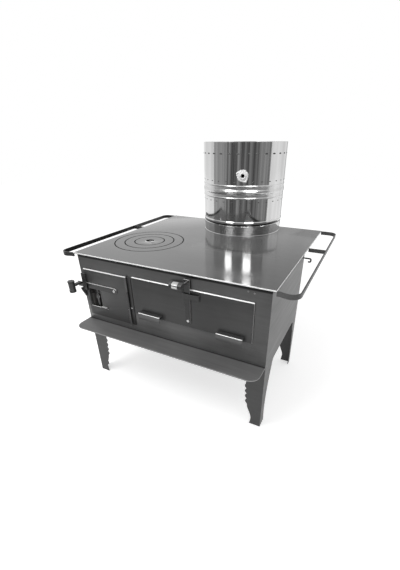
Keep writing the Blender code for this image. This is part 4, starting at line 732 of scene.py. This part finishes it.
placed("leaf_rivet", screw_head(LEAF_RIVET), bare_steel, "stove")


# Draught control
# Two channels inside the door hold an upright bar of grille and a sheet shutter, which slides
# behind the slot. Its bent lip is what the hand pushes.
inner_steel = sheet_steel("blued_inner", 0.075, 0.015, 0.42, (60, 60, 60), FRONT, 0.12)
sooty(inner_steel, amount=0.3)
shutter_steel = sheet_steel("blued_shutter", 0.06, 0.02, 0.34, (60, 60, 60), FRONT, 0.55)
sheet_piece("channel_upper", "draught_guide_upper", inner_steel, "firebox_door")
sheet_piece("channel_lower", "draught_guide_lower", inner_steel, "firebox_door")
sheet_piece("grille_bar", "draught_grille", shutter_steel, "firebox_door")
sheet_piece("shutter", "draught_shutter", shutter_steel, "draught_shutter")


# Firebox latch
# A flat bar pivots on a rivet, runs in a guide at the door's edge and drops behind a welded catch.
# A bent rod carries a turned grip with dark end caps.
GRIP_CAP = 0.0125
GRIP_WAIST = 0.93
GRIP_SINK = 0.0004
CAP_ROUND = 0.0016
CAP_SHOULDER = 0.0012
BARREL_EASE = 0.0010
# The latch bars' upward cut edges carry the doors' painted highlight.
latch_steel = sheet_steel("blued_latch", 0.052, 0.014, 0.34, (7, 90, 90), FRONT, 0.30, DOOR_EDGE_HIGHLIGHT)
# Lit and shaded copies of one grip steel: the firebox grip is painted dark as shade.
shaded_grip_steel = sheet_steel("shaded_grip", 0.060, 0.02, 0.10, (260, 260, 260), FRONT, 0.060,
                               metallic=0.8, grain=0.04)
cap_steel = sheet_steel("grip_cap", 0.035, 0.01, 0.42, (200, 200, 200), FRONT, 0.05, metallic=0.6)
sheet_piece("fire_latch", "firebox_latch_bar", latch_steel, "firebox_latch")
sheet_piece("fire_latch_rivet", "firebox_latch_rivet", bare_steel, "firebox_door", 0.0011,
            "bright_steel")
sheet_piece("fire_latch_guide", "firebox_latch_guide", hinge_steel, "firebox_door")
sheet_piece("fire_latch_catch", "firebox_latch_catch", hinge_steel)
sheet_piece("fire_latch_rod", "firebox_handle_rod", rail_iron, "firebox_latch", 0.0006,
            "black_iron")


def turned_grip(name, node, axis, hub_end, body, barrel_steel):
    """A turned barrel between two dark caps, about the line of the CAD grip."""
    low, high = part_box(node)
    length = (high - low)[axis]
    radius = (high - low)[1] / 2
    middle = (low + high) / 2
    turn = Matrix.Rotation(math.radians(90), 3, "Y") if axis == 0 else Matrix.Identity(3)
    waist = radius * GRIP_WAIST
    hub = length - hub_end
    caps = [[(POLE, start), (radius - CAP_ROUND, start), (radius, start + CAP_ROUND),
             (radius, end - CAP_SHOULDER), (radius - CAP_SHOULDER, end), (POLE, end)]
            for start, end in ((0, GRIP_CAP), (hub, length))]
    start, end = GRIP_CAP - GRIP_SINK, hub + GRIP_SINK
    barrel = [(POLE, start), (waist - BARREL_EASE, start), (waist, start + BARREL_EASE),
              (waist, end - BARREL_EASE), (waist - BARREL_EASE, end), (POLE, end)]
    for kind, profiles, material, replaced in (("barrel", [barrel], barrel_steel, [node]),
                                               ("cap", caps, cap_steel, [])):
        bm = bmesh.new()
        for profile in profiles:
            add_part(bm, spun(profile, (0, 0), 40, closed=False))
        bmesh.ops.translate(bm, vec=(0, 0, -length / 2), verts=bm.verts)
        bmesh.ops.rotate(bm, matrix=turn, verts=bm.verts)
        bmesh.ops.translate(bm, vec=middle, verts=bm.verts)
        placed(name + "_" + kind, bm, material, body, replaced)


turned_grip("fire_grip", "firebox_handle_grip", axis=2, hub_end=0.0095, body="firebox_latch",
            barrel_steel=shaded_grip_steel)


# Oven door
# A wide 5 mm plate that drops open on two pins. Each pin runs in a lug on the body, under a bent
# hood welded to the door.
# The oven door's cut edges are painted light, and its upward edges carry the painted highlight.
door_steel = sheet_steel("blued_oven_door", 0.058, 0.007, 0.42, (5, 60, 60), FRONT, 0.80,
                         DOOR_EDGE_HIGHLIGHT, metallic=0.60)
hood_steel = sheet_steel("blued_hood", 0.112, 0.02, 0.36, (7, 90, 90), FRONT, 0.05)
HOOD_BEND = 0.0034
BEND_FADE = (0.84, 0.92)
BEND_HIGHLIGHT = 0.85
BEND_METALLIC = 0.2


def paint_bend_highlight(material, direction):
    """A painted highlight on a bend: bright colour where its surface turns towards a direction."""
    tree = material.node_tree
    normal = tree.nodes.new("ShaderNodeTexCoord").outputs["Normal"]
    mask = ranged(tree, reach_along(tree, normal, direction), *BEND_FADE)
    for name, value in (("Base Color", BEND_HIGHLIGHT), ("Metallic", BEND_METALLIC)):
        socket = tree.nodes["Principled BSDF"].inputs[name]
        tree.links.new(blended(tree, mask, socket.links[0].from_socket, value), socket)


# The hood's bend towards the front and up carries a painted highlight.
paint_bend_highlight(hood_steel, (0, -math.sqrt(0.5), math.sqrt(0.5)))
sheet_piece("baking_door", "oven_door", door_steel, "oven_door", crown=DOOR_CHAMFER)
for side in ("left", "right"):
    sheet_piece("hinge_hood_" + side, "oven_hinge_hood_" + side, hood_steel, "oven_door",
                crown=HOOD_BEND, crown_steps=6)
    sheet_piece("hinge_lug_" + side, "oven_hinge_lug_" + side, hinge_steel)
    sheet_piece("hinge_pin_" + side, "oven_hinge_pin_" + side, bare_steel, "oven_door",
                slot="bright_steel")


# Oven latch
# An upright bar on a rivet swings over a catch above the door, between the ends of a guide strip.
# Its rod carries the second turned grip, with a longer dark hub at the rod.
sheet_piece("oven_bar", "oven_latch_bar", latch_steel, "oven_latch")
sheet_piece("oven_rivet", "oven_latch_rivet", bare_steel, "oven_door", 0.0011, "bright_steel")
sheet_piece("oven_guide", "oven_latch_guide", hinge_steel, "oven_door")
sheet_piece("oven_catch", "oven_latch_catch", hinge_steel)
sheet_piece("oven_rod", "oven_handle_rod", rail_iron, "oven_latch", 0.0006, "black_iron")
# The oven grip's pale copy of the grip steel is painted light.
lit_grip_steel = sheet_steel("turned_grip", 0.48, 0.03, 0.17, (260, 260, 260), FRONT, 0.48,
                         metallic=1, grain=0.04)
turned_grip("oven_grip", "oven_handle_grip", axis=0, hub_end=0.0185, body="oven_latch",
            barrel_steel=lit_grip_steel)


# Oven inside
# A welded box of black sheet between the firebox and the right side, with smoke passing over it,
# and a wire rack on its rails.
box_steel = sheet_steel("oven_sheet", 0.050, 0.012, 0.46, (30, 30, 30), FLAT, 0.06, metallic=0.7)
sheet_piece("oven_shell", "oven_box", box_steel, slot="black_iron")
rack_wire = sheet_steel("rack_wire", 0.50, 0.08, 0.28, (200, 200, 200), FLAT, 0.5, metallic=1)
sheet_piece("wire_rack", "oven_rack", rack_wire, "oven_rack", 0.0005, "bright_steel")


# Firebox inside
# Three loose fireclay slabs line the fire, black with soot above the grate. The cast grate lets
# ash fall into a folded tray on the floor.
CLAY = (0.20, 0.19, 0.18, 1)
BLACKENED_CLAY = (0.045, 0.044, 0.043, 1)
BLACKENED_SPAN = (0.40, 0.56)
GRIT_STRENGTH = 0.6
GRIT_DEPTH = 0.0008


def fired_clay():
    """Rough sandy clay, darker and sootier towards the top."""
    material, tree, shader = new_material("fired_clay")
    place = own_place(tree)
    grit = noise(tree, place, scale=260, detail=3)
    blotch = noise(tree, place, scale=14)
    rise = ranged(tree, axes(tree, place)["Z"], *BLACKENED_SPAN)
    soot = joined(tree, "ADD", rise, spread(tree, blotch, -0.35, 0.35))
    tint = tree.nodes.new("ShaderNodeMix")
    tint.data_type = "RGBA"
    tint.inputs["A"].default_value = CLAY
    tint.inputs["B"].default_value = BLACKENED_CLAY
    tree.links.new(soot, tint.inputs["Factor"])
    grain = tree.nodes.new("ShaderNodeMix")
    grain.data_type = "RGBA"
    grain.blend_type = "MULTIPLY"
    grain.inputs["Factor"].default_value = 0.5
    tree.links.new(tint.outputs["Result"], grain.inputs["A"])
    tree.links.new(grit, grain.inputs["B"])
    tree.links.new(grain.outputs["Result"], shader.inputs["Base Color"])
    shader.inputs["Roughness"].default_value = 0.92
    tree.links.new(bumped(tree, grit, GRIT_STRENGTH, GRIT_DEPTH), shader.inputs["Normal"])
    return material


clay = fired_clay()
for side in ("left", "right", "back"):
    sheet_piece("fire_slab_" + side, "firebrick_" + side, clay, ease=0.0016, slot="firebrick")
cast_iron = sheet_steel("cast_grate", 0.060, 0.02, 0.62, (220, 220, 220), FLAT, 0.06,
                        metallic=0.5, grain=0.6)
sooty(cast_iron, amount=0.45, scale=40)
sheet_piece("fire_grate", "grate", cast_iron, ease=0.0010, slot="black_iron")
tray_steel = sheet_steel("tray_sheet", 0.075, 0.02, 0.48, (30, 30, 30), FLAT, 0.09)
sooty(tray_steel, amount=0.25, scale=20)
sheet_piece("ash_pan", "ash_tray", tray_steel, "ash_tray", slot="black_iron")


# Smoke way
# A sheet box behind the body takes the smoke from the hole in the back up to the plate. A damper
# plate slides across the hole between two strips, pushed by a rod with a hooked end.
HOOK_START = 0.006
HOOK_SWELL = 0.0010
smoke_steel = sheet_steel("smoke_sheet", 0.075, 0.016, 0.42, (20, 20, 20), FRONT, 0.12)
sheet_piece("smoke_box", "flue_box", smoke_steel)
sheet_piece("damper_blade", "damper_plate", inner_steel, "damper")
sheet_piece("damper_strip_upper", "damper_guide_upper", inner_steel)
sheet_piece("damper_strip_lower", "damper_guide_lower", inner_steel)
bm = eased_copy("damper_rod", 0.0005)
for start in (HOOK_START, HOOK_START + HOOK_SWELL):
    bmesh.ops.bisect_plane(bm, geom=bm.verts[:] + bm.edges[:] + bm.faces[:],
                           plane_co=(panel_high.x + start, 0, 0), plane_no=(1, 0, 0))
bm.normal_update()
for vert in bm.verts:
    if vert.co.x > panel_high.x + HOOK_START + HOOK_SWELL / 2:
        vert.co += vert.normal * HOOK_SWELL
# The pull shares the left rail's darker iron, whose darkness is partly painted shade.
placed("damper_pull", bm, shaded_black_iron, "damper", ["damper_rod"], smooth=50)


# Water tank
# A round jacket of mirror-bright stainless sheet, rolled above its foot with a groove, painted
# black as shade, and a small bead, and with a wide bead between two narrow ones. A lap seam and
# rows of spot welds close it. Its foot has crinkles at the front and is painted darker there as a
# dark reflection.
TANK_STEPS = 192
WALL = 0.214
WALL_INSIDE = 0.2085
RIM_EASE = 0.0004
RIM_ROUND = 0.0008
# Each row is the rise above the foot, the width and the depth of the groove or a bead.
GROOVE = (0.056, 0.009, -0.0040)
WIDE_BEAD = (0.216, 0.024, 0.0030)
BEADS = [GROOVE, (0.068, 0.013, 0.0024), (0.188, 0.007, 0.0015), WIDE_BEAD,
         (0.244, 0.007, 0.0015)]
BEAD_STEPS = 12
BEAD_HOLD = 0.0008
BEAD_REACH = 0.033
BEAD_ROUGHNESS = 0.24
# The groove's band of painted shade.
GROOVE_SHADE_RISE = 0.0565
GROOVE_SHADE_HALF = 0.0030
GROOVE_PAINTED_SHADE = 0.03
FOOT_IN = 0.0034
FOOT_HEM = 0.0016
HEM_TOP = 0.0022
HEM_END = 0.0040
CRINKLE_RISE = 0.051
CRINKLE_TURN = math.radians(-64)
CRINKLE_REACH = 0.168
# Painted darker colour at the foot's front, as a dark reflection.
FOOT_PAINTED_DARK = 0.36
CRINKLE_ROUGHNESS = 0.27
FOLD_STRENGTH = 0.6
FOLD_DEPTH = 0.0016
WAVE_DEPTH = 0.002
INSIDE_REACH = 0.2089
INSIDE_ROUGHNESS = 0.55
foot = tank_low.z
rim = tank_high.z


def mirror_steel(name, shade, roughness, waviness):
    """Rolled stainless: an almost clean mirror, drawn out in upright bands and streaks."""
    material, tree, shader = new_material(name)
    shader.inputs["Metallic"].default_value = 1
    centred = mapped(tree, own_place(tree), shift=(-tank_x, -tank_y, 0))
    streaks = noise(tree, mapped(tree, centred, (34, 34, 1.6)))
    waves = noise(tree, mapped(tree, centred, (9, 9, 2.2)), detail=1)
    folds = noise(tree, mapped(tree, centred, (60, 60, 150)), detail=2)
    height = axes(tree, own_place(tree))["Z"]
    forward = reach_along(tree, centred, (math.cos(CRINKLE_TURN), math.sin(CRINKLE_TURN), 0))
    # Painted dark reflection at the foot's front; its folds and roughness are real surface marks.
    crinkled_and_painted_dark = joined(tree, "MULTIPLY", joined(tree, "LESS_THAN", height, foot + CRINKLE_RISE),
                      joined(tree, "GREATER_THAN", forward, CRINKLE_REACH))
    # Painted shade in the groove: a near-black band.
    painted_groove_shade = near(tree, height, foot + GROOVE_SHADE_RISE, GROOVE_SHADE_HALF)
    rolled = near(tree, height, foot + WIDE_BEAD[0], BEAD_REACH)
    inside = joined(tree, "LESS_THAN", off_line(tree, tank_x, tank_y), INSIDE_REACH)
    steel = spread(tree, streaks, shade * 0.84, shade * 1.08)
    for mask, value in ((crinkled_and_painted_dark, FOOT_PAINTED_DARK), (painted_groove_shade, GROOVE_PAINTED_SHADE)):
        steel = blended(tree, mask, steel, value)
    tree.links.new(steel, shader.inputs["Base Color"])
    dull = spread(tree, streaks, roughness * 0.6, roughness * 1.6)
    for mask, value in ((rolled, BEAD_ROUGHNESS), (crinkled_and_painted_dark, CRINKLE_ROUGHNESS),
                        (inside, INSIDE_ROUGHNESS)):
        dull = blended(tree, mask, dull, value)
    tree.links.new(dull, shader.inputs["Roughness"])
    wavy = bumped(tree, waves, waviness, WAVE_DEPTH)
    folded = joined(tree, "MULTIPLY", folds, crinkled_and_painted_dark)
    crushed = bumped(tree, folded, FOLD_STRENGTH, FOLD_DEPTH, under=wavy)
    tree.links.new(crushed, shader.inputs["Normal"])
    return material


stainless = mirror_steel("mirror_stainless", shade=0.62, roughness=0.07, waviness=0.35)
foot_edge = WALL - FOOT_IN
profile = [(foot_edge + FOOT_HEM, foot), (foot_edge + FOOT_HEM, foot + HEM_TOP),
           (foot_edge, foot + HEM_END)]
for rise, width, depth in BEADS:
    profile.append((WALL, foot + rise - width / 2 - BEAD_HOLD))
    for step in range(BEAD_STEPS + 1):
        share = step / BEAD_STEPS
        profile.append((WALL + depth * math.sin(math.pi * share),
                        foot + rise + width * (share - 0.5)))
    profile.append((WALL, foot + rise + width / 2 + BEAD_HOLD))
profile += [(WALL, rim - RIM_EASE - BEAD_HOLD), (WALL, rim - RIM_EASE), (WALL - RIM_EASE, rim),
            (WALL_INSIDE + RIM_ROUND, rim), (WALL_INSIDE, rim - RIM_ROUND), (WALL_INSIDE, foot)]
jacket = spun(profile, (tank_x, tank_y), TANK_STEPS)


def cut_away(bm, cutter):
    """A mesh with another closed mesh taken out of it."""
    made = []
    for label, source in (("kept", bm), ("cutter", cutter)):
        holder = bpy.data.objects.new(label, as_mesh(label, source))
        scene.collection.objects.link(holder)
        made.append(holder)
    kept, tool = made
    modifier = kept.modifiers.new("cut", "BOOLEAN")
    modifier.operation = "DIFFERENCE"
    modifier.solver = "EXACT"
    modifier.object = tool
    result = bmesh.new()
    evaluated = kept.evaluated_get(bpy.context.evaluated_depsgraph_get())
    result.from_mesh(evaluated.to_mesh())
    evaluated.to_mesh_clear()
    for holder in made:
        mesh = holder.data
        bpy.data.objects.remove(holder)
        bpy.data.meshes.remove(mesh)
    return result


SOCKET_TURN = math.radians(-70.7)
SOCKET_BODY = 0.0155
HOLE_EDGE = SOCKET_BODY + 0.0003
HOLE_START = 0.19
HOLE_END = 0.23
socket_low, socket_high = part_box("tank_outlet_socket")
socket_z = (socket_low.z + socket_high.z) / 2


def outward(bm, turn, height):
    """Lay an upright turned shape flat so that it points out of the tank at an angle."""
    bmesh.ops.rotate(bm, matrix=Matrix.Rotation(math.radians(90), 3, "Y"), verts=bm.verts)
    bmesh.ops.rotate(bm, matrix=Matrix.Rotation(turn, 3, "Z"), verts=bm.verts)
    bmesh.ops.translate(bm, vec=(tank_x, tank_y, height), verts=bm.verts)
    return bm


hole = spun([(POLE, HOLE_START), (HOLE_EDGE, HOLE_START), (HOLE_EDGE, HOLE_END), (POLE, HOLE_END)],
            (0, 0), 40, closed=False)
jacket = cut_away(jacket, outward(hole, SOCKET_TURN, socket_z))
placed("tank_wall", jacket, stainless, "stove", ["tank_jacket"], smooth=40)

SEAM_TURN = math.radians(-75)
SEAM_SPANS = ((0.076, 0.182), (0.252, 0.421))
SEAM_INSIDE = WALL - 0.0006
SEAM_OUTSIDE = WALL + 0.0005
SEAM_ANGLE = 0.013 / WALL
bm = bmesh.new()
for start, end in SEAM_SPANS:
    corners = ((SEAM_INSIDE, start), (SEAM_INSIDE, end), (SEAM_OUTSIDE, end), (SEAM_OUTSIDE, start))
    strip = bm.faces.new([bm.verts.new((radius, 0, foot + rise)) for radius, rise in corners])
    bmesh.ops.spin(bm, geom=[strip], axis=(0, 0, 1), cent=(0, 0, 0), angle=SEAM_ANGLE, steps=4)
turn = Matrix.Rotation(SEAM_TURN - SEAM_ANGLE / 2, 3, "Z")
bmesh.ops.rotate(bm, matrix=turn, verts=bm.verts)
bmesh.ops.translate(bm, vec=(tank_x, tank_y, 0), verts=bm.verts)
bmesh.ops.recalc_face_normals(bm, faces=bm.faces)
placed("lap_seam", bm, stainless, "stove")

SPOT_TURNS = 30
SPOT_ROWS = ((0.169, (0.7, 1.8, 1)), (0.264, (0.7, 1.8, 1)), (0.385, (1.1, 2.8, 1)))
spot_material = sheet_steel("spot_weld", 0.10, 0.03, 0.5, (300, 300, 300), SIDE, 0.08, metallic=0.9)
spot_profile = [(POLE, WALL - 0.0006), (0.0032, WALL - 0.0006), (0.0032, WALL + 0.0002),
                (0.0026, WALL + 0.0006), (0.0016, WALL + 0.0004), (POLE, WALL + 0.0003)]
bm = bmesh.new()
for number, (rise, stretch) in enumerate(SPOT_ROWS):
    for step in range(SPOT_TURNS):
        spot = spun(spot_profile, (0, 0), 12, closed=False)
        bmesh.ops.scale(spot, vec=stretch, verts=spot.verts)
        turn = 2 * math.pi * (step + 0.3 * number) / SPOT_TURNS
        add_part(bm, outward(spot, turn, foot + rise))
placed("spot_welds", bm, spot_material, "stove", smooth=50)


# Tank lid, base and smoke pipe
# A flat lid is sunk below the rim and a base plate closes the foot. The smoke pipe passes up
# through both, sooty inside.
LID_EDGE = 0.2082
LID_HOLE = 0.0603
PIPE_BORE = 0.058
PIPE_EDGE = 0.060


def eased_ring(inner, outer, low, high, ease):
    """The profile of a flat ring or a pipe whose upper corners are eased."""
    return [(inner, low), (outer, low), (outer, high - ease), (outer - ease, high),
            (inner + ease, high), (inner, high - ease)]


dull_stainless = mirror_steel("dull_stainless", shade=0.50, roughness=0.20, waviness=0.2)
flat_low, flat_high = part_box("tank_lid")
profile = eased_ring(LID_HOLE, LID_EDGE, flat_low.z, flat_high.z, 0.0004)
placed("sunk_lid", spun(profile, (tank_x, tank_y), 128), dull_stainless, "stove",
       ["tank_lid"])
sheet_piece("tank_floor", "tank_base_plate", dull_stainless, ease=0.0003, slot="stainless")
pipe_low, pipe_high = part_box("tank_flue")
profile = eased_ring(PIPE_BORE, PIPE_EDGE, pipe_low.z, pipe_high.z, 0.0005)
pipe_steel = sheet_steel("pipe_sheet", 0.075, 0.02, 0.42, (60, 60, 5), FLAT, 0.1)
sooty(pipe_steel, amount=0.3, scale=12)
placed("smoke_pipe", spun(profile, (tank_x, tank_y), 96), pipe_steel, "stove",
       ["tank_flue"])


# Tank outlet
# A threaded steel socket welded through the jacket for a tap. Its flange is ground bright and the
# weld round it has run a little.
BORE = 0.009
NOSE = 0.0150
MOUTH = 0.2238
FLANGE = 0.0240
FLANGE_FOOT = 0.2142
FLANGE_FACE = FLANGE_FOOT + 0.0026
INNER_END = 0.2015
THREAD_TURNS = 11
THREAD_PITCH = 0.0018
THREAD_DEPTH = 0.0008
profile = [(BORE, INNER_END), (SOCKET_BODY, INNER_END), (SOCKET_BODY, FLANGE_FOOT),
           (FLANGE, FLANGE_FOOT), (FLANGE, FLANGE_FACE - 0.0010), (FLANGE - 0.0012, FLANGE_FACE),
           (NOSE + 0.0015, FLANGE_FACE), (NOSE, FLANGE_FACE + 0.0017), (NOSE, MOUTH - 0.0010),
           (NOSE - 0.0010, MOUTH), (BORE + 0.0012, MOUTH), (BORE, MOUTH - 0.0012)]
for turn in range(1, THREAD_TURNS + 1):
    crest = MOUTH - THREAD_PITCH * turn
    profile += [(BORE, crest), (BORE + THREAD_DEPTH, crest - THREAD_PITCH / 2)]
socket_weld = sheet_steel("socket_weld", 0.84, 0.12, 0.42, (300, 300, 300), FRONT, 0.66,
                          metallic=0.4, grain=0.3, patch_scale=60)
socket_steel = sheet_steel("socket_steel", 0.90, 0.06, 0.42, (220, 220, 220), FRONT, 0.88,
                           metallic=0.5)
placed("outlet", outward(spun(profile, (0, 0), 48), SOCKET_TURN, socket_z), socket_steel, "stove",
       ["tank_outlet_socket"])

WELD_SEAT = 0.2143
WELD_RIDGE = [(-0.0036, -0.0012), (-0.0020, 0.0012), (0.0002, 0.0019), (0.0022, 0.0011),
              (0.0038, -0.0012)]
WELD_RUNS = ((math.radians(244), 0.0056), (math.radians(29), 0.0082))
RUN_NARROWNESS = 20
RUN_INWARD = 0.3
RIPPLES = 15
RIPPLE_DEPTH = 0.0006
RIPPLE_RISE = 0.35
LUMPS = 7
LUMP_DEPTH = 0.0004
ridge = [(FLANGE + across, WELD_SEAT + rise) for across, rise in WELD_RIDGE]
bm = spun(ridge, (0, 0), 90)
for vert in bm.verts:
    turn = math.atan2(vert.co.y, vert.co.x)
    radius = vert.co.xy.length
    run = sum(reach * max(0, math.cos(turn - way)) ** RUN_NARROWNESS for way, reach in WELD_RUNS)
    ripple = math.sin(RIPPLES * turn)
    pushed = radius + RIPPLE_DEPTH * ripple + LUMP_DEPTH * math.sin(LUMPS * turn + 1)
    pushed += run if radius > FLANGE else run * RUN_INWARD
    raised = WELD_SEAT + (vert.co.z - WELD_SEAT) * (1 + RIPPLE_RISE * ripple)
    vert.co = (pushed * math.cos(turn), pushed * math.sin(turn), raised)
placed("outlet_weld", outward(bm, SOCKET_TURN, socket_z), socket_weld, "stove",
       smooth=60)
